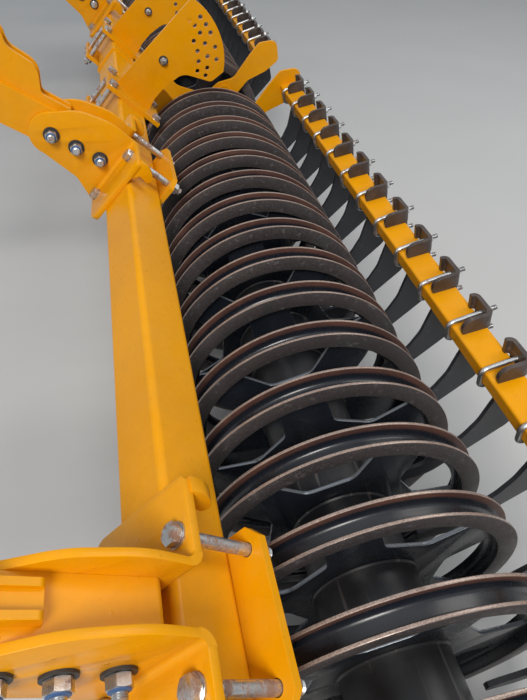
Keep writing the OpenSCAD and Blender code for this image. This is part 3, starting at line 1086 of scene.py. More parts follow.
@dataclass
class Palette:
    """All finishes of the machine, made once."""

    layout: Layout
    effects: Effects = field(default_factory=Effects)
    made: dict[str, Material] = field(default_factory=dict)

    def finishes(self) -> dict[str, Finish]:
        """Each finish by the name that the sub-assemblies ask for.

        Returns:
            The finishes by name.
        """
        lay = self.layout
        return {
            "enamel": EnamelPaint(),
            "ring": RingPaint(axle=lay.axle, rim=lay.ring_r, outer_y=lay.ring_outer_y,
                              pitch=lay.ring_pitch, width=lay.ring_w),
            "tube": SatinPaint("tube_paint", "roller_paint",
                               colour=(0.016, 0.018, 0.023), rubbed=(0.05, 0.045, 0.042)),
            "blade": SatinPaint("blade_steel", "blade_steel",
                                colour=(0.017, 0.019, 0.025), rubbed=(0.036, 0.037, 0.042),
                                patch=5.0, amount=0.6, scratch=0.18),
            # Holders are the same dark steel as the blades; the brown tint of colour and rubbed
            # is painted yellow bounce light from the scraper bar
            "holder": SatinPaint("oiled_steel", "bare_steel",
                                 colour=(0.040, 0.031, 0.030), rubbed=(0.095, 0.072, 0.062),
                                 rough=0.32, patch=30.0, amount=0.7, scratch=0.25),
            "casting": SatinPaint("dark_casting", "dark_casting",
                                  colour=(0.022, 0.023, 0.026), rubbed=(0.06, 0.055, 0.05),
                                  rough=0.5, patch=16.0, scratch=0.0),
            "nylon": SatinPaint("blue_nylon", "zinc",
                                colour=(0.04, 0.10, 0.24), rubbed=(0.07, 0.14, 0.28),
                                rough=0.4, patch=60.0, scratch=0.1),
            "zinc": ZincPlate(),
            "used_zinc": ZincPlate("used_zinc_plate", wear=Wear.USED),
        }

    def get(self, key: str) -> Material:
        """The material of that finish, built when first asked for.

        Args:
            key: The finish's name.

        Returns:
            The material.
        """
        if key not in self.made:
            self.made[key] = self.finishes()[key].make(self.effects)
        return self.made[key]

    def slot(self, key: str) -> str:
        """The record's slot that the finish belongs to."""
        return self.finishes()[key].slot


@dataclass
class Assembly:
    """Base of the sub-assemblies.

    Attributes:
        layout: Shared places and sizes.
        palette: The finishes.
        count: How many pieces it has so far.
    """

    layout: Layout
    palette: Palette
    count: int = 0

    def settle(self, piece: Object, body: str, finish: str, *nodes: str) -> None:
        """Seats a finished piece on its body.

        Args:
            piece: The piece.
            body: The body it rides on.
            finish: The finish that it has.
            nodes: The CAD nodes that it replaces.
        """
        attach(piece, body)
        self.palette.slot(finish)
        if nodes:
            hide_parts(*nodes)
        self.count += 1
        LOG.info("%s rides on %s with %d faces", piece.name, body, len(piece.data.polygons))

    def add_piece(self, maker: MeshMaker, name: str, finish: str, *nodes: str,
                  body: str = "frame") -> None:
        """Makes a piece of what a maker has gathered.

        Args:
            maker: The gathered shapes.
            name: The piece's name.
            finish: The finish that it gets.
            nodes: The CAD nodes that it replaces.
            body: The body it rides on.
        """
        self.settle(maker.build(name, self.palette.get(finish)), body, finish, *nodes)

    def dress(self, node: str, finish: str, edge: float, body: str = "frame") -> None:
        """Stands a copy with rounded edges in for a CAD node.

        Args:
            node: The node's name.
            finish: The finish that it gets.
            edge: Radius of its edges.
            body: The body it rides on.
        """
        self.settle(dressed_copy(node, self.palette.get(finish), edge), body, finish, node)

    def build(self) -> None:
        """Builds the whole sub-assembly."""
        raise NotImplementedError


@dataclass(frozen=True)
class BoltSize:
    """Sizes of one kind of hexagon bolt, in metres.

    Attributes:
        shank_r: Radius of the shank.
        across: Width across the flats.
        head_h: Height of the head.
        nut_h: Height of the nut.
        washer_r: Radius of the washers.
        washer_t: Thickness of the washers.
    """

    shank_r: float
    across: float
    head_h: float
    nut_h: float
    washer_r: float
    washer_t: float

    def hexagon(self, chamfer: float) -> Callable[[float, float, float], Point]:
        """Turns a round profile into a hexagon with chamfered corners.

        Args:
            chamfer: Height lost per unit of radius past the flats.

        Returns:
            A function of radius, height and angle that gives the new radius and height.
        """
        flat = self.across / 2

        def shape(radius: float, height: float, angle: float) -> Point:
            """Moves one point of the profile onto the hexagon.

            Args:
                radius: Its radius.
                height: Its height.
                angle: Its angle, in radians.

            Returns:
                Its new radius and height.
            """
            if radius < flat * 0.999:
                return radius, height
            swing = (angle + TAU / 12) % (TAU / 6) - TAU / 12
            r = flat / math.cos(swing)
            return r, height - math.copysign((r - flat * CHAMFER_AT) * chamfer, height)

        return shape


M20 = BoltSize(10 * MM, 30 * MM, 12.5 * MM, 16 * MM, 18.5 * MM, 3 * MM)
M20_WIDE = BoltSize(10 * MM, 30 * MM, 12.5 * MM, 16 * MM, 22 * MM, 4 * MM)
M16 = BoltSize(8 * MM, 24 * MM, 10 * MM, 13 * MM, 17 * MM, 3 * MM)
M12 = BoltSize(6 * MM, 18 * MM, 7.5 * MM, 10 * MM, 12 * MM, 2.5 * MM)
# Steps round heads and nuts, washers and shanks
HEX_STEPS = 36
WASHER_STEPS = 32
SHANK_STEPS = 20
# Where the chamfer of a hexagon starts, as a share of half its width
CHAMFER_AT = 0.96


def add_nut(maker: MeshMaker, size: BoltSize, place: Matrix, height: float,
            hollow: bool = False) -> None:
    """Adds a hexagon with both ends chamfered, from local zero upwards.

    Args:
        maker: Where it goes.
        size: The bolt's sizes.
        place: Its place, with local Z along the bolt.
        height: Its height.
        hollow: Whether its top has a dished end, as a nut has round its thread.
    """
    flat = size.across / 2
    middle = place @ Matrix.Translation((0, 0, height / 2))
    half = height / 2
    inner, dish = size.shank_r * 0.9, half - 2 * MM
    chamfer = flat * CHAMFER_AT
    profile = [(0, -half), (chamfer, -half), (flat, -half), (flat, half), (chamfer, half)]
    profile += [(inner, half), (inner, dish), (0, dish)] if hollow else [(0, half)]
    maker.lathe(profile, middle, HEX_STEPS, size.hexagon(0.5))


def add_thread(maker: MeshMaker, size: BoltSize, place: Matrix, length: float,
               pitch: float = 2.5 * MM) -> None:
    """Adds a threaded end, from local zero upwards.

    Args:
        maker: Where it goes.
        size: The bolt's sizes.
        place: Its place, with local Z along the bolt.
        length: Its length.
        pitch: Distance from thread to thread.
    """
    turns = max(2, int(length / pitch))
    step = length / turns
    profile: list[Point] = [(0, 0)]
    for k in range(turns):
        profile += [(size.shank_r * 0.86, k * step), (size.shank_r, (k + 0.5) * step)]
    profile += [(size.shank_r * 0.82, length), (0, length)]
    maker.lathe(profile, place, SHANK_STEPS)


def add_bolt(maker: MeshMaker, size: BoltSize, head: Vector, tail: Vector, past: float = 12 * MM,
             washers: MeshMaker | None = None, ring: MeshMaker | None = None) -> None:
    """Adds a whole bolt: head, washers, shank, nut and threaded end.

    Args:
        maker: Where it goes.
        size: The bolt's sizes.
        head: The point under the head's washer, on its seat.
        tail: The point under the nut's washer, on its seat.
        past: How far the thread stands out of the nut.
        washers: Where the washers go, if they have a finish of their own.
        ring: Where the nut's locking ring goes, if it has one.
    """
    along = (tail - head).normalized()
    back = axis_frame(head, -along)
    front = axis_frame(tail, along)
    for seat in (back, front):
        (washers or maker).lathe(disc(size.washer_r, size.washer_t), seat, WASHER_STEPS)
    lift = Matrix.Translation((0, 0, size.washer_t))
    add_nut(maker, size, back @ lift, size.head_h)
    add_nut(maker, size, front @ lift, size.nut_h, hollow=True)
    dish = 2 * MM
    top = front @ Matrix.Translation((0, 0, size.washer_t + size.nut_h - dish))
    add_thread(maker, size, top, past + dish)
    if ring:
        wide, narrow = size.across * 0.47, size.across * 0.39
        low, high = 3.4 * MM, 4.6 * MM
        ring.lathe([(0, 0), (wide, 0), (wide, low), (narrow, high), (0, high)], top, WASHER_STEPS)
    shank = disc(size.shank_r, (tail - head).length)
    maker.lathe(shank, axis_frame(head, along), SHANK_STEPS)


@dataclass
class RingSection(Assembly):
    """The rings of one roller section, on their shaft tube.

    Attributes:
        flange_t: Thickness of the flanges.
        flange_h: Height of the flanges over the floor.
        web_t: Thickness of the floor.
        groove_r: Inner radius between floor and flange.
        edge_r: Radius of the rims.
        plate_t: Thickness of the spider plates.
        holes: Openings in a plate.
        root_r: Radius of the openings' inner edges.
        plate_r: Radius of the openings' outer edges.
        root_half: Half the width of an opening at its inner edge.
        root_corner: Corner radius there.
        spoke_a: Angle of a spoke at the rim, in degrees.
        start_a: Angle of the outermost ring, in degrees.
        turn_a: Angle from ring to ring, in degrees.
        tube_r: Radius of the shaft tube.
        weld_r: Radius of the weld beads round it.
        steps: Steps round a ring.
    """

    side: Side = Side.LEFT
    flange_t: float = 6 * MM
    flange_h: float = 32 * MM
    web_t: float = 10 * MM
    groove_r: float = 10 * MM
    edge_r: float = 1.4 * MM
    plate_t: float = 8 * MM
    holes: int = 5
    root_r: float = 165 * MM
    plate_r: float = 262 * MM
    root_half: float = 50 * MM
    root_corner: float = 28 * MM
    spoke_a: float = 23.0
    start_a: float = -3.5
    turn_a: float = 36.0
    tube_r: float = 109.55 * MM
    weld_r: float = 5 * MM
    steps: int = 120

    def channel_profile(self) -> list[Point]:
        """The channel's section as rows of radius and height, with round edges and corners.

        Returns:
            The points round the section.
        """
        w = self.layout.ring_w
        r_out = self.layout.ring_r
        floor = r_out - self.flange_h
        inner = floor - self.web_t
        e, g = self.edge_r, self.groove_r
        back = 3 * e
        rounds = (
            (inner + back, back, back, 180, 270, 2),
            (r_out - e, e, e, 270, 360, 2),
            (r_out - e, self.flange_t - e, e, 0, 90, 2),
            (floor + g, self.flange_t + g, g, 270, 180, 4),
            (floor + g, w - self.flange_t - g, g, 180, 90, 4),
            (r_out - e, w - self.flange_t + e, e, 270, 360, 2),
            (r_out - e, w - e, e, 0, 90, 2),
            (inner + back, w - back, back, 90, 180, 2),
        )
        return [point for row in rounds for point in arc(*row)]

    def opening(self) -> list[Point]:
        """One opening of a spider plate, centred on the angle zero.

        Returns:
            The opening's outline.
        """
        half_a = 180 / self.holes - self.spoke_a / 2
        outer = arc(0, 0, self.plate_r, half_a, -half_a, 12)
        low = Vector((self.root_r, -self.root_half))
        high = Vector((self.root_r, self.root_half))
        root = fillet(Vector(outer[-1]), low, high, self.root_corner, 6)
        return outer + root + fillet(low, high, Vector(outer[0]), self.root_corner, 6)

    def spider(self) -> Mesh:
        """The spider plate as a flat plate with slightly rounded cut edges.

        Returns:
            The plate's mesh.
        """
        loops = [circle(self.plate_r + 14 * MM, 72)]
        for n in range(self.holes):
            turn = Matrix.Rotation(TAU * n / self.holes, 2)
            loops.append([tuple(turn @ Vector(p)) for p in self.opening()])
        loops.append(circle(self.tube_r - 2 * MM, 64))
        return flat_plate("spider", loops, self.plate_t, 0.7 * MM)

    def build(self) -> None:
        """Builds the rings, the tube and the welds of the section."""
        lay = self.layout
        x, z = lay.axle
        s, name = self.side.value, self.side.label
        body = name + "_roller"
        profile = self.channel_profile()
        spider = self.spider()
        rings, welds = MeshMaker(), MeshMaker()
        for k in range(lay.ring_count):
            y = s * (lay.ring_outer_y - k * lay.ring_pitch)
            rings.loop_lathe(profile, axis_frame((x, y, z), (0, -s, 0)), self.steps)
            mid = y - s * lay.ring_w / 2
            turn = Matrix.Rotation(math.radians(-(self.start_a + k * self.turn_a)), 4, "Y")
            rings.add_mesh(spider, Matrix.Translation((x, mid, z)) @ turn @ UPRIGHT)
            for lift in (-1, 1):
                bead = mid + lift * self.plate_t / 2
                ring_of_weld(welds, (x, bead, z), self.tube_r, self.weld_r)
        self.add_piece(rings, name + "_ring_set", "ring", name + "_rings", body=body)
        self.add_piece(welds, name + "_hub_welds", "tube", body=body)
        self.dress(name + "_shaft_tube", "tube", 1.5 * MM, body)
        self.dress(name + "_stub_axles", "casting", 1.0 * MM, body)


def fillet(a: Vector, corner: Vector, b: Vector, radius: float, steps: int) -> list[Point]:
    """Rounds one corner of an outline.

    Args:
        a: The point before the corner.
        corner: The corner.
        b: The point after it.
        radius: The corner's radius.
        steps: Number of steps in the arc.

    Returns:
        The points of the arc.
    """
    u = (a - corner).normalized()
    v = (b - corner).normalized()
    half = math.acos(max(-1.0, min(1.0, u.dot(v)))) / 2
    centre = corner + (u + v).normalized() * radius / math.sin(half)
    start = corner + u * radius / math.tan(half) - centre
    stop = corner + v * radius / math.tan(half) - centre
    first = math.atan2(start.y, start.x)
    sweep = (math.atan2(stop.y, stop.x) - first + math.pi) % TAU - math.pi
    return [(centre.x + radius * math.cos(first + sweep * k / steps),
             centre.y + radius * math.sin(first + sweep * k / steps)) for k in range(steps + 1)]


def flat_plate(name: str, loops: Sequence[Sequence[Point]], thickness: float,
               edge: float) -> Mesh:
    """A flat plate with holes and rounded edges, lying in local X and Y.

    Args:
        name: The mesh's name.
        loops: The outline, then the holes.
        thickness: The plate's thickness, half of it on each side of local zero.
        edge: Radius of the cut edges.

    Returns:
        The finished mesh.
    """
    curve = bpy.data.curves.new(name, "CURVE")
    curve.dimensions = "2D"
    curve.fill_mode = "BOTH"
    curve.extrude = thickness / 2 - edge
    curve.bevel_depth = edge
    curve.bevel_resolution = 1
    curve.offset = -edge
    for loop in loops:
        spline = curve.splines.new("POLY")
        spline.points.add(len(loop) - 1)
        for point, (x, y) in zip(spline.points, loop):
            point.co = (x, y, 0, 1)
        spline.use_cyclic_u = True
    holder = bpy.data.objects.new(name, curve)
    bpy.context.scene.collection.objects.link(holder)
    mesh = evaluated_mesh(holder)
    bpy.data.objects.remove(holder)
    with mesh_work(mesh) as work:
        bmesh.ops.remove_doubles(work, verts=work.verts, dist=1e-5)
    return mesh


def ring_of_weld(maker: MeshMaker, centre: Place, radius: float, size: float) -> None:
    """Adds a weld bead round a tube that lies along Y.

    Args:
        maker: Where it goes.
        centre: The middle of the bead's circle.
        radius: Radius of the tube.
        size: Radius of the bead.
    """
    points = circle(radius, 90)
    route = [Vector((centre[0] + x, centre[1], centre[2] + z)) for x, z in points + points[:1]]
    maker.tube(route, size, 6)


@dataclass
class CarryingBeam(Assembly):
    """The square beam, its caps, clamps, arms and adjuster plates.

    Attributes:
        adjuster_y: Sideways place of an adjuster plate's middle.
        adjuster_t: Thickness of an adjuster plate.
        adjuster_bolt: Place of its clamp bolts.
        pivot: Its pivot bolt, forwards of the axle and over it.
        band_y: Sideways place of the band round the beam.
        band_h: How far the band stands out of the beam.
        band_w: Its width.
    """

    adjuster_y: float = 356 * MM
    adjuster_t: float = 12 * MM
    adjuster_bolt: Point = (95 * MM, 70 * MM)
    pivot: Point = (173 * MM, 472 * MM)
    band_y: float = 145 * MM
    band_h: float = 7 * MM
    band_w: float = 16 * MM

    def dress_nodes(self) -> None:
        """Dresses the painted CAD nodes of the beam and what is clamped to it."""
        names = ["beam", "beam_caps", "arm_counter_plates", "adjuster_counter_plates"]
        names += [f"{side.label}_{part}" for side in Side
                  for part in ("adjuster_plate", "outer_arm", "inner_arm")]
        for name in names:
            self.dress(name, "enamel", PLATE_EDGE)

    def clamp_bolt(self, maker: MeshMaker, angle: float, along: float, y: float) -> None:
        """Adds a bolt that runs past the beam between two clamp plates.

        Args:
            maker: Where it goes.
            angle: Direction that the plate under the bolt's head looks in.
            along: Place along that plate.
            y: Sideways place.
        """
        out = self.layout.beam_half + self.layout.clamp_t
        top = self.layout.face_at(angle, along, out)
        low = self.layout.face_at(angle, along, -out)
        add_bolt(maker, M20, Vector((top[0], y, top[1])), Vector((low[0], y, low[1])), 14 * MM)

    def build_arm_bolts(self, number: int, y: float) -> None:
        """Adds the clamp bolts of one arm and the bolts that hold it.

        Args:
            number: The arm's number in the names.
            y: Sideways place of its middle.
        """
        clamps = MeshMaker()
        for s in (-1, 1):
            for along, across in (self.layout.upper_bolt, self.layout.lower_bolt):
                self.clamp_bolt(clamps, FRONT_FACE, along, y + s * across)
        self.add_piece(clamps, f"arm_clamp_bolts_{number}", "used_zinc")
        bolts, washers, rings = MeshMaker(), MeshMaker(), MeshMaker()
        inward = -math.copysign(self.layout.cheek_out, y)
        for k in range(ARM_BOLTS):
            x, z = self.layout.arm_at(k * self.layout.arm_bolt_pitch, 0)
            head, tail = Vector((x, y + inward, z)), Vector((x, y - inward, z))
            add_bolt(bolts, M20_WIDE, head, tail, 11 * MM, washers, rings)
        self.add_piece(bolts, f"arm_bolts_{number}", "zinc")
        self.add_piece(washers, f"arm_washers_{number}", "casting")
        self.add_piece(rings, f"arm_nut_rings_{number}", "nylon")

    def build_adjuster_bolts(self, side: Side) -> None:
        """Adds the clamp bolts and the pivot bolt of one adjuster plate.

        Args:
            side: The section that it belongs to.
        """
        y = side.value * self.adjuster_y
        along, across = self.adjuster_bolt
        clamps = MeshMaker()
        for s in (-1, 1):
            for up in (-1, 1):
                self.clamp_bolt(clamps, REAR_FACE, up * along, y + s * across)
        self.add_piece(clamps, side.label + "_adjuster_bolts", "used_zinc")
        bolt, washers = MeshMaker(), MeshMaker()
        x, z = self.layout.axle[0] - self.pivot[0], self.layout.axle[1] + self.pivot[1]
        head, tail = (Vector((x, y + s * self.adjuster_t / 2, z)) for s in (1, -1))
        add_bolt(bolt, M16, head, tail, 6 * MM, washers)
        self.add_piece(bolt, side.label + "_pivot_bolt", "zinc")
        self.add_piece(washers, side.label + "_pivot_washers", "casting")

    def build_band(self) -> None:
        """Adds the welded band round the beam, near its middle."""
        half = self.layout.beam_half
        loops = []
        for reach, corner in ((half + self.band_h, 16 * MM), (half - 2 * MM, 10 * MM)):
            square = [Vector((x, z)) * reach for x, z in ((1, 1), (-1, 1), (-1, -1), (1, -1))]
            loop: list[Point] = []
            for k in range(4):
                loop += fillet(square[k - 1], square[k], square[(k + 1) % 4], corner, 6)
            loops.append(loop)
        mesh = flat_plate("band", loops, self.band_w, PLATE_EDGE)
        x, z = self.layout.beam
        turn = Matrix.Rotation(math.pi / 4, 4, "Y") @ UPRIGHT
        maker = MeshMaker()
        maker.add_mesh(mesh, Matrix.Translation((x, self.band_y, z)) @ turn)
        self.add_piece(maker, "beam_band", "enamel")

    def build(self) -> None:
        """Builds the whole sub-assembly."""
        self.dress_nodes()
        for n, y in enumerate(self.layout.arm_places):
            self.build_arm_bolts(n + 1, y)
        for side in Side:
            self.build_adjuster_bolts(side)
        self.build_band()


@dataclass
class ArmBrackets(Assembly):
    """The bent plates that clamp the arms to the beam, two to an arm.

    Attributes:
        foot_from: Lower end of a plate's foot along the beam's face.
        foot_to: Its upper end.
        foot_half: Sideways distance from the arm's middle to the end of a foot.
        foot_corners: Corner radii of a foot at its lower and upper end.
        bend_in: How far the bend starts inside the foot's lower end.
        lap: How far bend, foot and upright part run into each other.
        cheek_t: Thickness of the upright part.
        bend_r: Inner radius of the bend between foot and upright part.
        hook_from: Sideways distance from the arm's middle to a hook.
        hook_t: Thickness of a hook.
        crown: Peak of the upright part, along the row of bolts and over it.
        brow: Its next corner forwards.
        heel: Its corner under the row.
        nose_r: Its radius about the front bolt.
        hole_r: Radius of the bolt holes.
    """

    foot_from: float = -108 * MM
    foot_to: float = 124 * MM
    foot_half: float = 176 * MM
    foot_corners: Point = (30 * MM, 12 * MM)
    bend_in: float = 8 * MM
    lap: float = 2 * MM
    cheek_t: float = 12 * MM
    bend_r: float = 9 * MM
    hook_from: float = 146 * MM
    hook_t: float = 26 * MM
    crown: Point = (10 * MM, 112 * MM)
    brow: Point = (105 * MM, 97 * MM)
    heel: Point = (35 * MM, -84 * MM)
    nose_r: float = 60 * MM
    hole_r: float = 11 * MM

    @property
    def seat(self) -> float:
        """Distance from the beam's centre to the outer faces of the feet."""
        return self.layout.beam_half + self.layout.clamp_t

    def cheek(self) -> Mesh:
        """An upright part with its bolt holes, drawn in X and Z.

        Returns:
            The plate's mesh.
        """
        lay = self.layout
        foot = self.seat + self.bend_r - self.lap
        low = Vector(lay.face_at(FRONT_FACE, self.foot_from + self.bend_in, foot))
        high = Vector(lay.face_at(FRONT_FACE, self.foot_to, foot))
        crown, brow, heel = (lay.arm_at(*p) for p in (self.crown, self.brow, self.heel))
        front = (ARM_BOLTS - 1) * lay.arm_bolt_pitch
        nose = [lay.arm_at(*p) for p in arc(front, 0, self.nose_r, 60, -90, 15)]
        outline: list[Point] = [tuple(low), tuple(high)]
        outline += fillet(high, crown, brow, 160 * MM, 8)
        outline += fillet(crown, brow, nose[0], 120 * MM, 8)
        outline += [tuple(v) for v in nose]
        outline += fillet(nose[-1], heel, low, 60 * MM, 8)
        bores = [[tuple(lay.arm_at(k * lay.arm_bolt_pitch, 0) + Vector(p))
                  for p in circle(self.hole_r, 30)] for k in range(ARM_BOLTS)]
        return flat_plate("cheek", [outline, *bores], self.cheek_t, PLATE_EDGE)

    def bend(self, maker: MeshMaker, y: float, s: int) -> None:
        """Adds the bend between an upright part and its foot.

        Args:
            maker: Where it goes.
            y: Sideways place of the arm's middle.
            s: Side of the arm, as 1 or -1.
        """
        middle = (self.layout.cheek_out + self.bend_r, self.seat + self.bend_r)
        steps = 8
        thicker = (self.layout.clamp_t - self.cheek_t) / steps
        section = arc(*middle, self.bend_r, 180, 270, steps)
        for k in range(steps, -1, -1):
            x, z = polar(self.bend_r + self.cheek_t + thicker * k, 180 + 90 * k / steps)
            section.append((middle[0] + x, middle[1] + z))
        points = []
        for along in (self.foot_from + self.bend_in, self.foot_to):
            for across, out in section:
                x, z = self.layout.face_at(FRONT_FACE, along, out)
                points.append((x, y + s * across, z))
        count = len(section)
        faces = [list(range(count)), [count + k for k in range(count)][::-1]]
        faces += [[k, count + k, count + (k + 1) % count, (k + 1) % count] for k in range(count)]
        maker.add(points, faces, Matrix.Identity(4))

    def foot(self) -> Mesh:
        """A foot on the beam's face, with its bolt holes; local X runs along the face.

        Returns:
            The plate's mesh.
        """
        near = self.layout.cheek_out + self.bend_r - self.lap
        start = Vector((self.foot_from + self.bend_in, near))
        low = Vector((self.foot_from, self.foot_half))
        high = Vector((self.foot_to, self.foot_half))
        stop = Vector((self.foot_to, near))
        outline = [tuple(start), *fillet(start, low, high, self.foot_corners[0], 8),
                   *fillet(low, high, stop, self.foot_corners[1], 6), tuple(stop)]
        holes = [[(along + x, across + z) for x, z in circle(self.hole_r, 30)]
                 for along, across in (self.layout.upper_bolt, self.layout.lower_bolt)]
        return flat_plate("foot", [outline, *holes], self.layout.clamp_t, PLATE_EDGE)

    def hook(self) -> Mesh:
        """The hook behind a foot's upper end, drawn in X and Z.

        Returns:
            The hook's mesh.
        """
        rows = [(-66, 72), (-66, 128), (-44, 130), (-20, 117), (-11, 106), (-9, 95), (-15, 86),
                (-27, 88), (-44, 90), (-56, 72)]
        outline = [self.layout.face_at(REAR_FACE, a * MM, out * MM) for a, out in rows]
        return flat_plate("hook", [outline], self.hook_t, PLATE_EDGE)

    def build(self) -> None:
        """Builds the brackets of the four arms."""
        cheek, foot, hook = self.cheek(), self.foot(), self.hook()
        up_face = Vector((1, 0, 1)).normalized()
        out = Vector((-1, 0, 1)).normalized()
        x, z = self.layout.face_at(FRONT_FACE, 0, self.seat - self.layout.clamp_t / 2)
        names = ("left_outer", "left_inner", "right_inner", "right_outer")
        for name, y in zip(names, self.layout.arm_places):
            maker = MeshMaker()
            for s in (-1, 1):
                cheek_y = y + s * (self.layout.cheek_out - self.cheek_t / 2)
                hook_y = y + s * (self.hook_from + self.hook_t / 2)
                maker.add_mesh(cheek, Matrix.Translation((0, cheek_y, 0)) @ UPRIGHT)
                maker.add_mesh(hook, Matrix.Translation((0, hook_y, 0)) @ UPRIGHT)
                axes = Matrix((up_face, Vector((0, s, 0)), out)).transposed().to_4x4()
                maker.add_mesh(foot, Matrix.Translation((x, y, z)) @ axes)
                self.bend(maker, y, s)
            self.add_piece(maker, name + "_bent_brackets", "enamel", name + "_arm_bracket")


@dataclass
class Hangers(Assembly):
    """The hangers under the beam, their bearings and the scraper brackets."""

    def build(self) -> None:
        """Builds the whole sub-assembly."""
        parts = (("hanger", "enamel"), ("scraper_bracket", "enamel"), ("bearing", "casting"))
        for side in Side:
            for place in ("outer", "inner"):
                for part, finish in parts:
                    self.dress(f"{side.label}_{place}_{part}", finish, 1.5 * MM)


@dataclass
class Scrapers(Assembly):
    """The scraper bar of one section, with its blades, holders and clips.

    Attributes:
        side: The section.
        clip_rise: Height of a clip's rods over and under the bar's middle.
        clip_front: Distance from the bar's middle to a clip's bent end.
        clip_bend: Radius of its bends.
        clip_climb: Slope of its upper rod.
        clip_end: Distance from the bar's middle to the ends of its threads.
        clip_y: Sideways distance from a blade to its clip.
        web_back: Distance from the bar's middle to the back of a holder's web.
        thread_pitch: Distance from thread to thread.
    """

    side: Side = Side.LEFT
    clip_rise: float = 26.3 * MM
    clip_front: float = 41.3 * MM
    clip_bend: float = 13 * MM
    clip_climb: float = 0.09
    clip_end: float = 73 * MM
    clip_y: float = 34 * MM
    web_back: float = 45.3 * MM
    thread_pitch: float = 1.75 * MM

    @property
    def thread_from(self) -> float:
        """Distance from the bar's middle to the start of a clip's threads, inside its nuts."""
        return self.web_back + M12.washer_t + M12.nut_h - 3 * MM

    def bar_place(self, y: float) -> Matrix:
        """The bar's own tilted frame at a sideways place.

        Args:
            y: The sideways place.

        Returns:
            A rigid transform.
        """
        x, z = self.layout.bar
        tilt = Matrix.Rotation(math.radians(-self.layout.bar_tilt), 4, "Y")
        return Matrix.Translation((x, y, z)) @ tilt

    def rod_height(self, along: float, up: int) -> float:
        """Height of a clip's rod over the bar's middle.

        Args:
            along: Distance behind the bar's middle.
            up: Which rod, as 1 for the upper or -1 for the lower one.

        Returns:
            The height.
        """
        climb = self.clip_climb * (along - self.clip_bend + self.clip_front)
        return self.clip_rise + climb if up > 0 else -self.clip_rise

    def clip_route(self) -> list[Point]:
        """Middle line of a clip's rod, round the front of the bar.

        Returns:
            Points in X and Z about the bar's middle.
        """
        bend_x, bend_z = self.clip_bend - self.clip_front, self.clip_rise - self.clip_bend
        route: list[Point] = [(self.thread_from, self.rod_height(self.thread_from, -1))]
        for start, z in ((270, -bend_z), (180, bend_z)):
            route += arc(bend_x, z, self.clip_bend, start, start - 90, 6)
        return [*route, (self.thread_from, self.rod_height(self.thread_from, 1))]

    def build_clips(self) -> None:
        """Builds the clips round the bar, with threaded ends, and their nuts and washers."""
        rods, nuts = MeshMaker(), MeshMaker()
        sideways = Matrix.Rotation(math.pi / 2, 4, "Y")
        on_washer = Matrix.Translation((0, 0, M12.washer_t))
        for gap in self.layout.gap_places():
            place = self.bar_place(self.side.value * (gap - self.clip_y))
            route = [place @ Vector((x, 0, z)) for x, z in self.clip_route()]
            rods.tube(route, M12.shank_r, 16)
            for up in (-1, 1):
                lean = math.atan(self.clip_climb) if up > 0 else 0.0
                start = (self.thread_from, 0, self.rod_height(self.thread_from, up))
                end = place @ Matrix.Translation(start) @ Matrix.Rotation(-lean, 4, "Y")
                length = self.clip_end - self.thread_from
                add_thread(rods, M12, end @ sideways, length, self.thread_pitch)
                behind = (self.web_back, 0, self.rod_height(self.web_back, up))
                seat = place @ Matrix.Translation(behind) @ sideways
                nuts.lathe(disc(M12.washer_r, M12.washer_t), seat, 24)
                add_nut(nuts, M12, seat @ on_washer, M12.nut_h, hollow=True)
        name = self.side.label
        self.add_piece(rods, name + "_clip_rods", "zinc", name + "_clips")
        self.add_piece(nuts, name + "_clip_nuts", "zinc")

    def build(self) -> None:
        """Builds the whole sub-assembly."""
        name = self.side.label
        self.dress(name + "_scraper_bar", "enamel", 1.0 * MM)
        # The holders' finish carries the scraper bar's yellow bounce light painted in as a brown
        # tint
        self.dress(name + "_holders", "holder", 1.2 * MM)
        self.dress(name + "_blades", "blade", 1.2 * MM)
        self.build_clips()


@dataclass(frozen=True)
class Lamp:
    """A square area lamp.

    Attributes:
        name: Its name.
        place: Where it hangs.
        target: What it points at.
        size: Its side.
        power: Its power in watts.
        colour: Its colour.
    """

    name: str
    place: Triple
    target: Triple
    size: float
    power: float
    colour: Rgb

    def hang(self) -> None:
        """Adds the lamp to the scene."""
        data = bpy.data.lights.new(self.name, "AREA")
        data.size = self.size
        data.energy = self.power
        data.color = self.colour
        obj = bpy.data.objects.new(self.name, data)
        obj.matrix_world = axis_frame(self.place, Vector(self.place) - Vector(self.target))
        bpy.context.scene.collection.objects.link(obj)


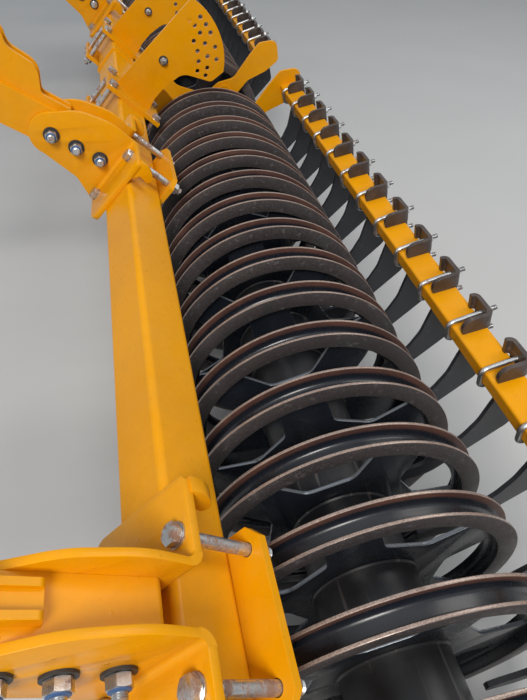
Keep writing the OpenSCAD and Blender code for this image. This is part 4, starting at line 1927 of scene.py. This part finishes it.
@dataclass(frozen=True)
class Studio:
    """The camera, the lights and the floor.

    Attributes:
        eye: The camera's place.
        right: Direction to the picture's right.
        up: Direction to its top.
        focal_px: Focal length in pixels of the photograph.
        height_px: Height of the photograph in pixels.
        sensor: Height of the sensor in millimetres.
        lamps: The lamps.
        sky: Colour and strength of the light from all round.
        backdrop: Colour and strength of the backdrop.
        floor_tones: Darkest and palest tone of the floor.
        floor_half: Half the floor's side.
    """

    eye: Triple = (0.851, -2.524, 0.427)
    right: Triple = (0.9735, -0.2289, 0.0)
    up: Triple = (0.1635, 0.6955, 0.6997)
    focal_px: float = 524.4
    height_px: float = 700.0
    sensor: float = 36.0
    lamps: tuple[Lamp, ...] = (
        Lamp("key", (-0.3, -5.2, 4.2), (1.0, -1.2, -0.5), 2.0, 275.0, (1.0, 0.965, 0.91)),
        Lamp("sky", (0.5, 0.5, 6.5), (1.0, 0.0, -0.5), 6.0, 50.0, (0.86, 0.93, 1.0)),
        Lamp("rear", (5.0, -1.0, 3.6), (1.0, -1.0, -0.4), 3.0, 85.0, (1.0, 0.97, 0.93)),
    )
    sky: tuple[Rgb, float] = ((0.69, 0.74, 0.80), 0.50)
    backdrop: tuple[Rgb, float] = ((0.62, 0.62, 0.615), 1.0)
    floor_tones: tuple[Rgb, Rgb] = ((0.50, 0.50, 0.497), (0.55, 0.55, 0.547))
    floor_half: float = 30.0

    def camera(self) -> None:
        """Puts the camera at the photograph's place and angle."""
        data = bpy.data.cameras.new("camera")
        data.sensor_fit = "VERTICAL"
        data.sensor_height = self.sensor
        data.lens = self.focal_px / self.height_px * self.sensor
        data.clip_start = 0.02
        right = Vector(self.right).normalized()
        up = (Vector(self.up) - Vector(self.up).dot(right) * right).normalized()
        turn = Matrix((right, up, right.cross(up))).transposed().to_4x4()
        obj = bpy.data.objects.new("camera", data)
        obj.matrix_world = Matrix.Translation(self.eye) @ turn
        bpy.context.scene.collection.objects.link(obj)
        bpy.context.scene.camera = obj

    def world(self) -> None:
        """Sets the light from all round, and the backdrop that camera and metal see."""
        world = bpy.data.worlds.new("world")
        bpy.context.scene.world = world
        world.use_nodes = True
        tree = world.node_tree
        w = Wiring(tree)
        light = tree.nodes["Background"]
        seen = tree.nodes.new("ShaderNodeBackground")
        for node, (colour, strength) in ((light, self.sky), (seen, self.backdrop)):
            node.inputs["Color"].default_value = (*colour, 1.0)
            node.inputs["Strength"].default_value = strength
        path = tree.nodes.new("ShaderNodeLightPath").outputs
        direct = w.math("MAXIMUM", path["Is Camera Ray"], path["Is Glossy Ray"])
        direct = w.math("MAXIMUM", direct, path["Is Transmission Ray"])
        mix = tree.nodes.new("ShaderNodeMixShader")
        for socket, value in zip(mix.inputs, (direct, light.outputs[0], seen.outputs[0])):
            w.put(socket, value)
        w.put(tree.nodes["World Output"].inputs["Surface"], mix.outputs[0])

    def floor(self, height: float) -> None:
        """Lays the plain pale floor.

        Args:
            height: The floor's height.
        """
        mesh = bpy.data.meshes.new("floor")
        far, z = self.floor_half, height - 0.5 * MM
        corners = [(-far, -far, z), (far, -far, z), (far, far, z), (-far, far, z)]
        mesh.from_pydata(corners, [], [(0, 1, 2, 3)])
        material = bpy.data.materials.new("pale_floor")
        material.use_nodes = True
        shader = material.node_tree.nodes["Principled BSDF"]
        w = Wiring(material.node_tree)
        where = material.node_tree.nodes.new("ShaderNodeTexCoord").outputs["Object"]
        tone = w.blend(w.noise(where, 2.0, 4.0), *self.floor_tones)
        w.put(shader.inputs["Base Color"], tone)
        shader.inputs["Roughness"].default_value = 0.85
        mesh.materials.append(material)
        obj = bpy.data.objects.new("floor", mesh)
        bpy.context.scene.collection.objects.link(obj)

    def set_up(self, floor_z: float) -> None:
        """Sets up the camera, lights and floor.

        Args:
            floor_z: The floor's height.
        """
        self.camera()
        for lamp in self.lamps:
            lamp.hang()
        self.world()
        self.floor(floor_z)
        bpy.context.scene.view_settings.view_transform = "Standard"


def main() -> None:
    """Builds the sub-assemblies in order and reports each piece."""
    logging.basicConfig(level=logging.INFO, format="%(name)s: %(message)s")
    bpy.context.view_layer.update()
    layout = Layout.from_frame()
    palette = Palette(layout)
    Studio().set_up(layout.floor_z)
    assemblies: list[Assembly] = [kind(layout, palette)
                                  for kind in (CarryingBeam, ArmBrackets, Hangers)]
    for side in Side:
        assemblies.append(RingSection(layout, palette, side=side))
        assemblies.append(Scrapers(layout, palette, side=side))
    for assembly in assemblies:
        assembly.build()
        LOG.info("%s has %d pieces", type(assembly).__name__, assembly.count)


if __name__ == "__main__":
    main()
